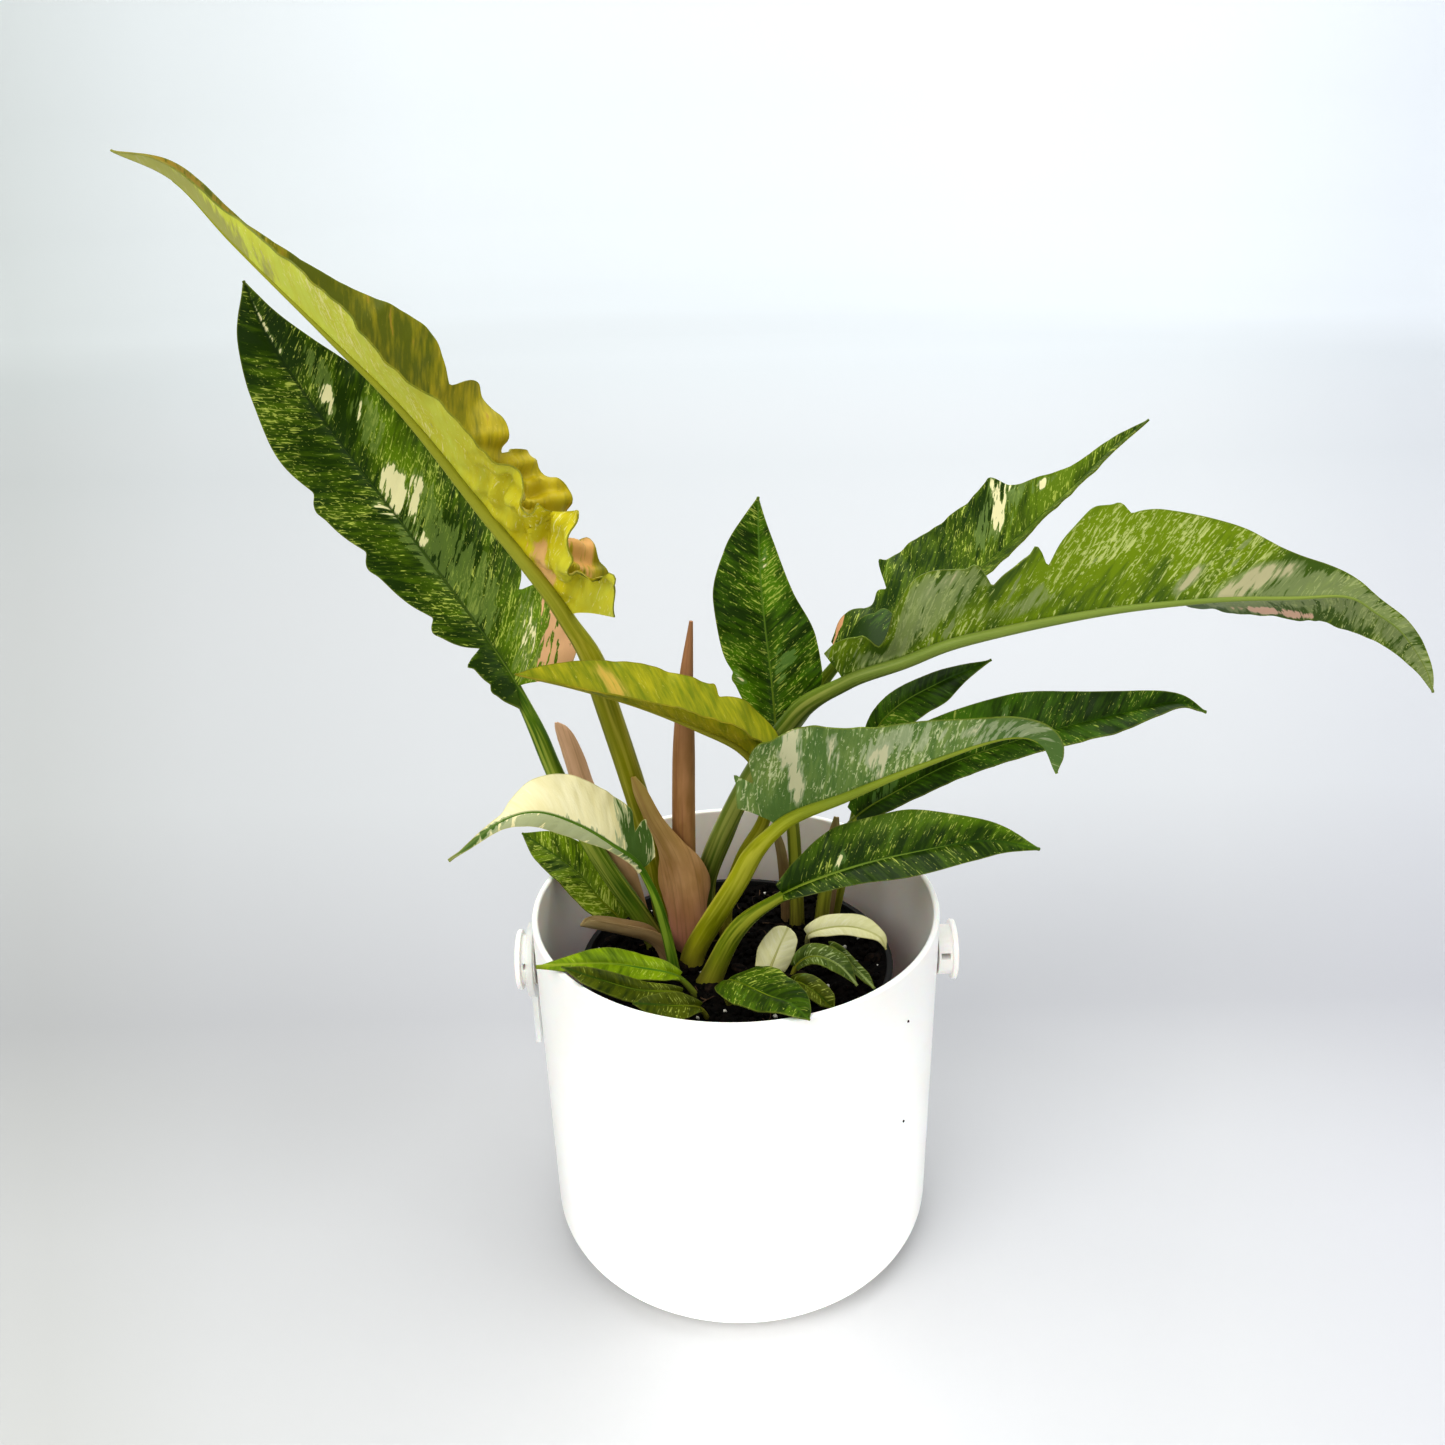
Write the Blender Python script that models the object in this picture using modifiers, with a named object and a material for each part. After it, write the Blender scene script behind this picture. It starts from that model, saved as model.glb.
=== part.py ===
"""A variegated philodendron in a black nursery pot, set inside a white cover pot.

Every length below is in millimetres, and becomes metres where a mesh is made.
The origin is the middle of the pot's underside, +Z is up, and the longest
leaves reach out along +X and -X.
"""

import math

import bmesh
import bpy
import numpy as np

MM = 0.001

# The white cover pot: a straight tub with a rounded foot.
POT_HEIGHT = 151.0
POT_TOP_RADIUS = 80.0
POT_FOOT_RADIUS = 78.0
POT_WALL = 2.5
POT_FLOOR = 3.0
FOOT_ROUND = 16.0
RIM_ROUND = 1.0
POT_STEPS = 44

# The strap pegs: a split neck under a flat round head, pushed through the wall.
PEG_HEIGHT = 127.0
PEG_STANDOFF = 0.5
PEG_SHANK_RADIUS = 6.0
PEG_NECK_RADIUS = 9.9
PEG_HEAD_RADIUS = 12.0
PEG_NECK_LENGTH = 5.8
PEG_HEAD_THICK = 2.2
PEG_HEAD_CROWN = 0.8
PEG_SLOT = 3.8
PEG_WEB = 0.8
PEG_EDGE = 0.4
PEG_STEPS = 20

# The end of a strap left on one peg: a flat eyelet with a short tail. Its middle
# plane stands EYELET_SEAT out from the wall.
EYELET_RADIUS = 15.0
EYELET_HOLE_RADIUS = 10.4
EYELET_THICK = 2.5
EYELET_SEAT = 2.0
STRAP_WIDTH = 10.0
STRAP_THICK = 2.2
STRAP_TAIL = 25.0
EYELET_STEPS = 32

# The black nursery pot that stands inside, and its soil.
NURSERY_TOP = 125.0
NURSERY_TOP_RADIUS = 61.5
NURSERY_FOOT_RADIUS = 48.0
NURSERY_WALL = 1.4
NURSERY_LIP = 1.0
NURSERY_LIP_DROP = 5.0
SOIL_TOP = 121.5
SOIL_SWELL = 1.2
NURSERY_STEPS = 32

# Clearances between neighbours, and the depth of a cutter that goes right through.
GAP = 0.3
HOLE_CLEARANCE = 0.5
CUTTER_DEPTH = 20.0

# How thick the blades are, how many quads cross each half of one, and how many
# places along it they are measured at before its notches add more.
BLADE_THICK = 0.8
SHEATH_THICK = 1.0
TIP_HALF_WIDTH = 0.6
LARGE_STATIONS = 13
LARGE_ROWS = 2
SMALL_STATIONS = 7
SMALL_ROWS = 1
SHEATH_STATIONS = 8
SHEATH_ROWS = 3

# Stems are eight-sided tubes with a point about every STALK_STEP. A leaf's stem
# runs on as its midrib, under the blade, for RIB_SHARE of the blade's length. It
# slips under the blade over the last SLIP_LENGTH of the stalk. A midrib starts at
# RIB_START of the stalk's radius, thins by the power RIB_TAPER to RIB_LEAST, and
# lies RIB_DROP of its radius below the blade's middle surface.
STALK_BEVEL = 2
STALK_STEP = 14.0
SLIP_LENGTH = 26.0
RIB_SHARE = 0.8
RIB_POINTS = 7
RIB_START = 0.75
RIB_TAPER = 0.8
RIB_LEAST = 0.25
RIB_DROP = 0.8
JOINT_GAP = 5
RULER_STEP = 1.0

# Each leaf is one route from the soil to its tip. The stalk ends, and the blade
# starts, at the point numbered "stalk". "facing" is where the upper face looks.
# "edge" is each half's width at shares of the blade's length, "fold" how far that
# half is turned up from flat, and "arch" how much more it turns out to its edge.
# A notch is (share, depth, length): the sinus between two lobes.
# A ruffle is (height, waves, phase, start, end).
LARGE_LEAVES = {
    "leaf_left": dict(
        route=[(-33, 15, 117), (-35, 15, 129), (-56, 20, 165), (-70, 26, 196), (-83, 32, 232),
               (-101, 38, 262), (-124, 42, 298), (-146, 42, 334), (-161, 36, 367), (-165, 30, 388)],
        stalk=4, radius=(4.2, 3.2), facing=[(0.55, -0.75, 0.35), (0.45, -0.8, 0.35), (0.2, -0.9, 0.3)],
        left=dict(
            edge=[(0, 4), (0.025, 9), (0.07, 12), (0.13, 12), (0.2, 16), (0.35, 20), (0.5, 23),
                  (0.65, 23), (0.8, 17), (0.9, 10), (0.96, 4), (1, 0)],
            fold=12, arch=-16, lobe=8,
            notches=[(0.055, 0.15, 0.02), (0.12, 0.6, 0.02), (0.23, 0.22, 0.04), (0.425, 0.16, 0.05),
                     (0.585, 0.14, 0.05)]),
        right=dict(
            edge=[(0, 14), (0.05, 27), (0.12, 30), (0.3, 28), (0.5, 28), (0.7, 23),
                  (0.84, 13), (0.93, 6), (1, 0)],
            fold=12, arch=-16, notches=[(0.17, 0.25, 0.02)])),
    "leaf_tall_left": dict(
        route=[(-27, 25, 117), (-34, 16, 174), (-47, 5, 238), (-56, 0, 274), (-84, -2, 316),
               (-106, -5, 349), (-128, -5, 374), (-155, -5, 404), (-172, -2, 423), (-192, 3, 432)],
        stalk=3, radius=(5, 4.4), facing=[(0.8, 0, 0.6), (0.75, 0, 0.65), (0.6, 0, 0.8)],
        left=dict(
            edge=[(0, 18), (0.05, 26), (0.2, 30), (0.35, 31), (0.5, 28), (0.65, 21),
                  (0.8, 10), (0.92, 5), (1, 0)],
            fold=(55, 50, 36, 30, 44, 45, 40), arch=0, notches=[(0.07, 0.4, 0.03), (0.17, 0.35, 0.03)],
            ruffle=(6, 8, 0, 0, 0.35), lobe=5),
        right=dict(
            edge=[(0, 18), (0.05, 24), (0.2, 31), (0.47, 31), (0.56, 25), (0.64, 17),
                  (0.8, 8), (0.92, 5), (1, 0)],
            fold=40, arch=0, notches=[(0.1, 0.45, 0.04), (0.27, 0.4, 0.05), (0.41, 0.35, 0.05)],
            ruffle=(6, 7, 1, 0, 0.45), lobe=8)),
    "leaf_olive": dict(
        route=[(-3, 20, 117), (-4, 17, 137), (3, 10, 165), (12, -2, 190), (12, -12, 213),
               (4, -12, 225), (-12, -15, 235), (-32, -20, 246), (-53, -27, 256), (-74, -32, 264)],
        stalk=4, radius=(3, 2.4), facing=[(0.5, 0.1, 0.85), (0.3, 0, 0.95), (0.1, -0.2, 0.97)],
        left=dict(edge=[(0, 5), (0.1, 12), (0.25, 17), (0.4, 14), (0.6, 8), (0.8, 4), (0.9, 2), (1, 0)],
                  fold=25, arch=20),
        right=dict(edge=[(0, 6), (0.1, 14), (0.3, 18), (0.5, 17), (0.75, 12), (0.9, 6), (1, 0)],
                   fold=(60, 50, 40, 40, 40), arch=-10, notches=[(0.27, 0.18, -0.04)])),
    "leaf_centre": dict(
        route=[(26, 27, 117), (25.5, 27, 145), (24, 27, 173), (20, 25.5, 205), (18, 25, 212),
               (16, 27, 235), (13, 32, 266), (12, 34, 289), (12, 33, 306)],
        stalk=4, radius=(3, 2.4), facing=[(0, -0.8, 0.6), (0, -0.85, 0.5)],
        left=dict(edge=[(0, 5), (0.08, 8), (0.2, 13), (0.4, 18), (0.6, 19), (0.8, 13), (0.93, 5), (1, 0)],
                  fold=18, arch=-20, notches=[(0.3, 0.08, 0.05)]),
        right=dict(edge=[(0, 6), (0.08, 12), (0.25, 20), (0.4, 19), (0.6, 12), (0.8, 6), (0.93, 2), (1, 0)],
                   fold=18, arch=-20)),
    "leaf_back_right": dict(
        route=[(-12, 42, 117), (-11, 42, 137), (-3, 43, 158), (6, 44, 180), (17, 45, 196),
               (30, 46, 213), (44, 48, 236), (68, 50, 250), (99, 51, 270), (128, 48, 298),
               (144, 44, 317), (156, 38, 330)],
        stalk=6, radius=(3.6, 3), facing=[(-0.6, 0, 0.8), (-0.65, 0, 0.75)],
        left=dict(
            edge=[(0, 8), (0.06, 14), (0.13, 15), (0.2, 28), (0.35, 31), (0.5, 30),
                  (0.58, 31), (0.66, 19), (0.8, 7), (0.9, 4), (1, 0)],
            fold=30, arch=0, notches=[(0.195, 0.4, -0.03), (0.62, 0.15, 0.04)], ruffle=(2, 5, 0, 0, 0.3)),
        right=dict(edge=[(0, 8), (0.06, 14), (0.2, 20), (0.4, 22), (0.6, 16), (0.8, 10), (0.92, 4), (1, 0)],
                   fold=12, arch=0, notches=[(0.12, 0.3, 0.03), (0.25, 0.2, 0.05)],
                   ruffle=(3, 5, 2, 0, 0.3))),
    "leaf_long_right": dict(
        route=[(-12, 28, 117), (-12, 21, 150), (5, 10, 197), (25, -2, 234), (40, -10, 251),
               (61, -14, 260), (82, -18, 269), (127, -20, 278), (166, -20, 281), (196, -18, 280),
               (215, -16, 279), (227, -14, 272), (239, -12, 263), (250, -11, 249), (255, -10, 239)],
        stalk=4, radius=(4.4, 3.8),
        facing=[(-0.35, 0.4, 0.8), (-0.2, 0.6, 0.7), (-0.1, 0.8, 0.6), (0, 1, 0.3), (0.3, 0.9, 0.2)],
        left=dict(edge=[(0, 12), (0.05, 22), (0.2, 30), (0.4, 34), (0.55, 28), (0.7, 20), (0.85, 11),
                        (0.95, 4), (1, 0)],
                  fold=(50, 48, 40, 22, 10), arch=0, notches=[(0.1, 0.4, 0.03), (0.24, 0.4, 0.03)],
                  ruffle=(4, 6, 0, 0, 0.4)),
        right=dict(
            edge=[(0, 12), (0.03, 14), (0.07, 12), (0.12, 20), (0.17, 26), (0.22, 24), (0.3, 25),
                  (0.36, 31), (0.4, 36), (0.5, 31), (0.58, 25), (0.65, 17), (0.71, 12), (0.79, 5),
                  (0.9, 4), (0.96, 2), (1, 0)],
            fold=(50, 45, 45, 30, 20), arch=0,
            notches=[(0.07, 0.35, 0.02), (0.245, 0.3, 0.025), (0.325, 0.3, 0.02), (0.44, 0.08, 0.02)],
            ruffle=(3, 6, 1, 0, 0.35))),
    "leaf_grey_green": dict(
        route=[(-18, 2, 117), (-16, 1, 130), (1, -12, 168), (15, -22, 199), (41, -32, 216),
               (65, -38, 229), (92, -42, 240), (105, -44, 239), (111, -46, 228)],
        stalk=3, radius=(4.6, 3.8),
        facing=[(-0.3, 0.5, 0.8), (-0.2, 0.6, 0.8), (0, 0.7, 0.7), (0.5, 0.4, 0.7)],
        left=dict(edge=[(0, 10), (0.05, 18), (0.2, 24), (0.5, 22), (0.7, 16), (0.85, 8), (0.95, 3), (1, 0)],
                  fold=45, arch=0),
        right=dict(edge=[(0, 15), (0.06, 25), (0.17, 34), (0.3, 31), (0.43, 22), (0.6, 15), (0.75, 10),
                         (0.87, 9), (0.95, 5), (1, 0)],
                   fold=(45, 45, 40, 20), arch=0, notches=[(0.06, 0.3, 0.02)],
                   ruffle=(2, 4, 0, 0, 0.4), lobe=3)),
    "leaf_right": dict(
        route=[(35, 22, 117), (37, 22, 140), (41, 22, 160), (49, 22, 176), (66, 20, 189),
               (89, 17, 203), (119, 14, 215), (148, 11, 224), (168, 9, 229), (180, 8, 225)],
        stalk=3, radius=(3, 2.4), facing=[(-0.2, -0.6, 0.8), (-0.1, -0.6, 0.8), (0, -0.6, 0.8)],
        left=dict(edge=[(0, 5), (0.1, 12), (0.3, 19), (0.5, 18), (0.7, 11), (0.85, 6), (0.95, 2), (1, 0)],
                  fold=30, arch=0),
        right=dict(edge=[(0, 5), (0.1, 8), (0.3, 10), (0.5, 10), (0.7, 11), (0.85, 7), (0.95, 2), (1, 0)],
                   fold=30, arch=-15)),
    "leaf_low_right": dict(
        route=[(-13, -11, 117), (0, -14, 147), (18, -20, 167), (43, -24, 180), (68, -27, 188),
               (92, -28, 192), (112, -28, 188)],
        stalk=2, radius=(4.6, 2.8), facing=[(-0.2, -0.6, 0.75), (-0.1, -0.6, 0.75), (0, -0.6, 0.75)],
        left=dict(edge=[(0, 4), (0.1, 9), (0.3, 16), (0.5, 16), (0.75, 9), (0.9, 4), (1, 0)],
                  fold=30, arch=-10),
        right=dict(edge=[(0, 3), (0.1, 5), (0.3, 7), (0.5, 9), (0.75, 7), (0.9, 3), (1, 0)],
                   fold=-5, arch=-10)),
    "leaf_small_back": dict(
        route=[(40, 32, 117), (45, 34, 141), (51, 37, 170), (57, 39, 202), (66, 39, 216),
               (83, 38, 227), (103, 36, 237)],
        stalk=3, radius=(2.6, 2.0), facing=[(-0.3, -0.6, 0.7), (-0.3, -0.6, 0.7)],
        left=dict(edge=[(0, 4), (0.3, 6), (0.6, 5), (0.8, 3), (1, 0)], fold=15, arch=0),
        right=dict(edge=[(0, 7), (0.3, 11), (0.6, 9), (0.8, 4), (1, 0)], fold=10, arch=-15)),
    "leaf_cream": dict(
        route=[(-24, -5, 117), (-28, -9, 147), (-34, -18, 178), (-45, -26, 194), (-57, -32, 206),
               (-70, -38, 214), (-83, -42, 212), (-101, -45, 199)],
        stalk=2, radius=(2.2, 1.8), facing=[(0.2, -0.45, 0.85), (0, -0.45, 0.9), (-0.2, -0.4, 0.9)],
        left=dict(edge=[(0, 3), (0.2, 3), (0.35, 5), (0.5, 6), (0.65, 5), (0.75, 3), (0.9, 1.5), (1, 0)],
                  fold=-30, arch=-30),
        right=dict(edge=[(0, 6), (0.1, 13), (0.3, 16), (0.48, 16), (0.6, 12), (0.68, 6), (0.74, 2),
                         (0.85, 1), (1, 0)],
                   fold=30, arch=-10, notches=[(0.13, 0.4, 0.03)])),
}

# The small leaves low in the pot, in the same terms.
SMALL_LEAVES = {
    "leaf_pot_left": dict(
        route=[(-41, 22, 117), (-47, 22, 130), (-56, 24, 140), (-67, 29, 152), (-87, 34, 166)],
        stalk=1, radius=(2, 1.6), facing=[(0.3, -0.6, 0.7), (0.3, -0.6, 0.7)],
        left=dict(edge=[(0, 4), (0.2, 8), (0.5, 10), (0.8, 7), (1, 0)], fold=12, arch=0),
        right=dict(edge=[(0, 4), (0.2, 9), (0.5, 11), (0.8, 8), (1, 0)], fold=15, arch=0)),
    "leaf_front_bright": dict(
        route=[(-13, -21, 117), (-22, -24, 133), (-37, -30, 142), (-51, -37, 149), (-73, -48, 156)],
        stalk=1, radius=(1.8, 1.4), facing=[(0, -0.6, 0.8), (0, -0.6, 0.8)],
        left=dict(edge=[(0, 2), (0.2, 5), (0.5, 6), (0.8, 3), (1, 0)], fold=15, arch=0),
        right=dict(edge=[(0, 2), (0.2, 5), (0.5, 6), (0.8, 3), (1, 0)], fold=15, arch=-20)),
    "leaf_front_olive": dict(
        route=[(-19, -26, 117), (-21, -32, 131), (-37, -43, 141), (-50, -49, 150), (-63, -55, 160)],
        stalk=1, radius=(1.6, 1.3), facing=[(0, -0.6, 0.8), (0, -0.6, 0.8)],
        left=dict(edge=[(0, 2), (0.2, 5), (0.5, 6), (0.8, 4), (1, 0)], fold=10, arch=0),
        right=dict(edge=[(0, 2), (0.2, 3), (0.5, 4), (0.8, 3), (1, 0)], fold=15, arch=-20)),
    "leaf_front_dark": dict(
        route=[(-10, -35, 117), (-14, -40, 130), (-26, -49, 138), (-38, -57, 145)],
        stalk=1, radius=(1.4, 1.1), facing=[(0, -0.6, 0.8), (0, -0.6, 0.8)],
        left=dict(edge=[(0, 2), (0.4, 6), (0.8, 4), (1, 0)], fold=10, arch=0),
        right=dict(edge=[(0, 2), (0.4, 5), (0.8, 3), (1, 0)], fold=10, arch=0)),
    "leaf_over_rim": dict(
        route=[(-3, -24, 117), (-4, -38, 141), (11, -60, 149), (18, -70, 152.6), (24, -81, 153.4)],
        stalk=1, radius=(1.6, 1.3), facing=[(0.1, -0.4, 0.9), (0.2, -0.3, 0.9)],
        left=dict(edge=[(0, 4), (0.15, 10), (0.4, 12), (0.7, 9), (0.9, 4), (1, 0)], fold=12, arch=-20),
        right=dict(edge=[(0, 4), (0.15, 9), (0.4, 11), (0.7, 9), (0.9, 4), (1, 0)], fold=12, arch=-25)),
    "leaf_cream_stub": dict(
        route=[(11, -10, 117), (12.5, -12, 126), (16.5, -10, 136), (20.4, -8, 144)],
        stalk=1, radius=(1.8, 1.5), facing=[(0, -0.8, 0.6), (0, -0.8, 0.6)],
        left=dict(edge=[(0, 6), (0.4, 8), (0.8, 6), (0.93, 4), (1, 1)], fold=-8, arch=-20),
        right=dict(edge=[(0, 6), (0.4, 7), (0.8, 6), (0.93, 4), (1, 1)], fold=-8, arch=-20)),
    "leaf_cream_right": dict(
        route=[(29, 14, 117), (29, 8, 130), (38, 7, 134), (48, 5, 135), (57, 1, 133), (60, -1, 128)],
        stalk=1, radius=(1.6, 1.2), facing=[(0, -0.5, 0.85), (0, -0.5, 0.85)],
        left=dict(edge=[(0, 3), (0.3, 6), (0.6, 6), (0.85, 3), (1, 0)], fold=10, arch=-20),
        right=dict(edge=[(0, 2), (0.3, 4), (0.6, 4), (0.85, 2), (1, 0)], fold=10, arch=-20)),
    "leaf_pale_arched": dict(
        route=[(20, -13, 117), (23, -14, 130), (30, -17, 136.5), (39, -22, 135.5), (46, -28, 130)],
        stalk=1, radius=(1.5, 1.2), facing=[(0.1, -0.6, 0.8), (0.2, -0.6, 0.8)],
        left=dict(edge=[(0, 2), (0.3, 5), (0.6, 5), (1, 0)], fold=15, arch=-10),
        right=dict(edge=[(0, 2), (0.3, 4), (0.6, 4), (1, 0)], fold=15, arch=-10)),
    "leaf_pale_narrow": dict(
        route=[(34, -4, 117), (36.5, -8, 135), (46.5, -19, 130.8), (52.5, -28, 128.5)],
        stalk=1, radius=(1.2, 0.9), facing=[(0.1, -0.6, 0.8), (0.2, -0.6, 0.8)],
        left=dict(edge=[(0, 1.5), (0.3, 2.5), (0.7, 2.5), (1, 0)], fold=15, arch=0),
        right=dict(edge=[(0, 1.5), (0.3, 2.5), (0.7, 2), (1, 0)], fold=15, arch=0)),
    "leaf_small_dark": dict(
        route=[(16, -24, 117), (21, -29, 133), (28.5, -35, 133), (36, -42, 129.5)],
        stalk=1, radius=(1.3, 1.0), facing=[(0.1, -0.6, 0.8), (0.2, -0.6, 0.8)],
        left=dict(edge=[(0, 2), (0.4, 5), (0.8, 4), (1, 0)], fold=15, arch=0),
        right=dict(edge=[(0, 2), (0.4, 5), (0.8, 4), (1, 0)], fold=15, arch=0)),
}

# Sheaths are the papery scales that each new leaf grew out of: a blade with no
# stalk, curled into a channel. They stand in the soil by their own foot.
SHEATHS = {
    "sheath_wide": dict(
        route=[(-19, 8, 117), (-20, 5, 147), (-23, 5, 168), (-32, 5, 188), (-38, 5, 205)],
        facing=[(0, 0.9, -0.2), (0, 0.9, 0.3), (0.2, 0.9, 0.3)],
        left=dict(edge=[(0, 8), (0.2, 13), (0.35, 15), (0.5, 11), (0.62, 6), (0.75, 4), (0.92, 3), (1, 1)],
                  fold=8, arch=(90, 90, 50, 20, 20)),
        right=dict(edge=[(0, 8), (0.2, 13), (0.4, 13), (0.58, 8), (0.75, 4), (0.92, 3), (1, 1)],
                   fold=8, arch=(90, 80, 45, 20, 20))),
    "sheath_tall": dict(
        route=[(-36, 26, 117), (-47, 24, 153), (-59.5, 22, 187), (-65, 22, 209), (-68, 22, 221)],
        facing=[(0.3, 0.9, 0.2), (0.3, 0.9, 0.2)],
        left=dict(edge=[(0, 3), (0.4, 7), (0.8, 7), (0.95, 5), (1, 2.5)], fold=8, arch=80),
        right=dict(edge=[(0, 3), (0.4, 6), (0.8, 6), (0.95, 5), (1, 2.5)], fold=8, arch=80)),
    "sheath_low": dict(
        route=[(-28, 4, 117), (-34, 3, 131), (-47, 2, 137), (-62, 2, 141)],
        facing=[(0, 0.3, 1), (0, 0.3, 1)],
        left=dict(edge=[(0, 4), (0.3, 8), (0.7, 6), (1, 1)], fold=10, arch=60),
        right=dict(edge=[(0, 4), (0.3, 8), (0.7, 6), (1, 1)], fold=10, arch=60)),
    "sheath_thin": dict(
        route=[(22, 31, 117), (22, 31, 135), (20, 31, 154), (17, 31, 167)],
        facing=[(-0.2, 0.9, 0.2), (-0.2, 0.9, 0.2)],
        left=dict(edge=[(0, 2.5), (0.4, 3), (0.8, 2), (1, 1)], fold=5, arch=50),
        right=dict(edge=[(0, 2.5), (0.4, 3), (0.8, 2), (1, 1)], fold=5, arch=50)),
    "sheath_right": dict(
        route=[(37, 28, 117), (38.5, 28, 135), (40, 28, 155), (42, 28, 173)],
        facing=[(0.2, 0.9, 0.2), (0.2, 0.9, 0.2)],
        left=dict(edge=[(0, 2.5), (0.4, 4), (0.8, 3), (1, 1)], fold=5, arch=50),
        right=dict(edge=[(0, 2.5), (0.4, 4), (0.8, 3), (1, 1)], fold=5, arch=50)),
}

# The new leaf, still rolled into a spike.
SPIKE_ROUTE = [(-19, 17, 117), (-20, 14, 154), (-19, 13, 199), (-17, 13, 237), (-14, 13, 265)]
SPIKE_RADII = [(0, 4.0), (0.3, 4.6), (0.6, 4.4), (0.85, 2.6), (1, 0.7)]

COLOURS = {
    "white_plastic": ("E9E7E1", 0.35),
    "clear_strap": ("DADBD6", 0.25),
    "black_plastic": ("141414", 0.5),
    "potting_soil": ("1E1713", 0.95),
    "leaf_green": ("3F6A22", 0.4),
    "leaf_olive": ("8A9030", 0.4),
    "leaf_cream": ("E4E0B8", 0.45),
    "sheath_pink": ("A8705A", 0.6),
}


def clear_scene():
    for thing in list(bpy.data.objects):
        bpy.data.objects.remove(thing, do_unlink=True)


def new_collection(name):
    group = bpy.data.collections.new(name)
    bpy.context.scene.collection.children.link(group)
    return group


def linear(channel):
    return channel / 12.92 if channel <= 0.04045 else ((channel + 0.055) / 1.055) ** 2.4


def finish(name):
    """A plain Principled material in one of the colours listed above."""
    if name in bpy.data.materials:
        return bpy.data.materials[name]
    code, roughness = COLOURS[name]
    red, green, blue = (linear(int(code[i:i + 2], 16) / 255) for i in (0, 2, 4))
    material = bpy.data.materials.new(name)
    material.use_nodes = True
    shader = material.node_tree.nodes["Principled BSDF"]
    shader.inputs["Base Color"].default_value = (red, green, blue, 1)
    shader.inputs["Roughness"].default_value = roughness
    shader.inputs["Metallic"].default_value = 0
    material.diffuse_color = (red, green, blue, 1)
    return material


def add_object(name, mesh, group, material):
    thing = bpy.data.objects.new(name, mesh)
    group.objects.link(thing)
    if material:
        mesh.materials.append(finish(material))
    return thing


def move_to(thing, group):
    for old in list(thing.users_collection):
        old.objects.unlink(thing)
    group.objects.link(thing)


def make_cutter(thing, group):
    move_to(thing, group)
    thing.hide_render = True
    thing.display_type = "WIRE"


def evaluated_mesh(thing):
    """The object's mesh with its modifiers worked out."""
    bpy.context.view_layer.update()
    graph = bpy.context.evaluated_depsgraph_get()
    return bpy.data.meshes.new_from_object(thing.evaluated_get(graph))


def bake(thing):
    """Put the worked-out mesh back on the object and drop its modifiers."""
    mesh = evaluated_mesh(thing)
    old = thing.data
    thing.modifiers.clear()
    thing.data = mesh
    bpy.data.meshes.remove(old)


def boolean(thing, other, operation):
    modifier = thing.modifiers.new(operation.title(), "BOOLEAN")
    modifier.operation = operation
    modifier.object = other
    modifier.solver = "EXACT"


def turned(name, profile, steps, group, material):
    """A round solid: a profile of (radius, height) swept once round Z."""
    mesh = bpy.data.meshes.new(name)
    points = [(radius * MM, 0, height * MM) for radius, height in profile]
    mesh.from_pydata(points, [(i, i + 1) for i in range(len(points) - 1)], [])
    thing = add_object(name, mesh, group, material)
    screw = thing.modifiers.new("Turn", "SCREW")
    screw.steps = steps
    screw.render_steps = steps
    screw.use_merge_vertices = True
    screw.merge_threshold = 0.00001
    bake(thing)
    return thing


def arc(centre, radius, start, end, count):
    """Points on a quarter or so of a circle, in degrees, in the profile's plane."""
    angles = np.radians(np.linspace(start, end, count))
    return [(centre[0] + radius * math.cos(a), centre[1] + radius * math.sin(a)) for a in angles]


def smooth_route(points, step):
    """Points every step or so on a smooth curve through the given ones."""
    given = np.array(points, float)
    ends = np.vstack([2 * given[0] - given[1], given, 2 * given[-1] - given[-2]])
    fine = []
    for i in range(len(given) - 1):
        a, b, c, d = ends[i:i + 4]
        for t in np.linspace(0, 1, 24, endpoint=False):
            fine.append((2 * b + (c - a) * t + (2 * a - 5 * b + 4 * c - d) * t ** 2
                         + (3 * b - a - 3 * c + d) * t ** 3) / 2)
    fine = np.array(fine + [given[-1]])
    run = np.concatenate([[0], np.cumsum(np.linalg.norm(np.diff(fine, axis=0), axis=1))])
    count = max(2, round(run[-1] / step) + 1)
    return sample(fine, run, np.linspace(0, run[-1], count))


def sample(points, run, places):
    return np.stack([np.interp(places, run, points[:, k]) for k in range(3)], axis=1)


def curve_through(pairs, places):
    """A smooth curve through (place, value) pairs that never swings past them."""
    x, y = np.array(pairs, float).T
    slope = np.diff(y) / np.diff(x)
    before, after = slope[:-1], slope[1:]
    same = before * after > 0
    middle = np.where(same, 2 * before * after / np.where(same, before + after, 1), 0)
    tangent = np.concatenate([[slope[0]], middle, [slope[-1]]])
    i = np.clip(np.searchsorted(x, places) - 1, 0, len(x) - 2)
    width = x[i + 1] - x[i]
    t = (places - x[i]) / width
    return ((2 * t ** 3 - 3 * t ** 2 + 1) * y[i] + (t ** 3 - 2 * t ** 2 + t) * width * tangent[i]
            + (3 * t ** 2 - 2 * t ** 3) * y[i + 1] + (t ** 3 - t ** 2) * width * tangent[i + 1])


def spread(values, places):
    """Evenly spaced values read at shares of the blade's length."""
    values = np.array(values, float)
    if values.ndim == 0:
        return np.full(len(places), float(values))
    at = np.linspace(0, 1, len(values))
    if values.ndim == 1:
        return np.interp(places, at, values)
    return np.stack([np.interp(places, at, values[:, k]) for k in range(3)], axis=1)


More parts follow.
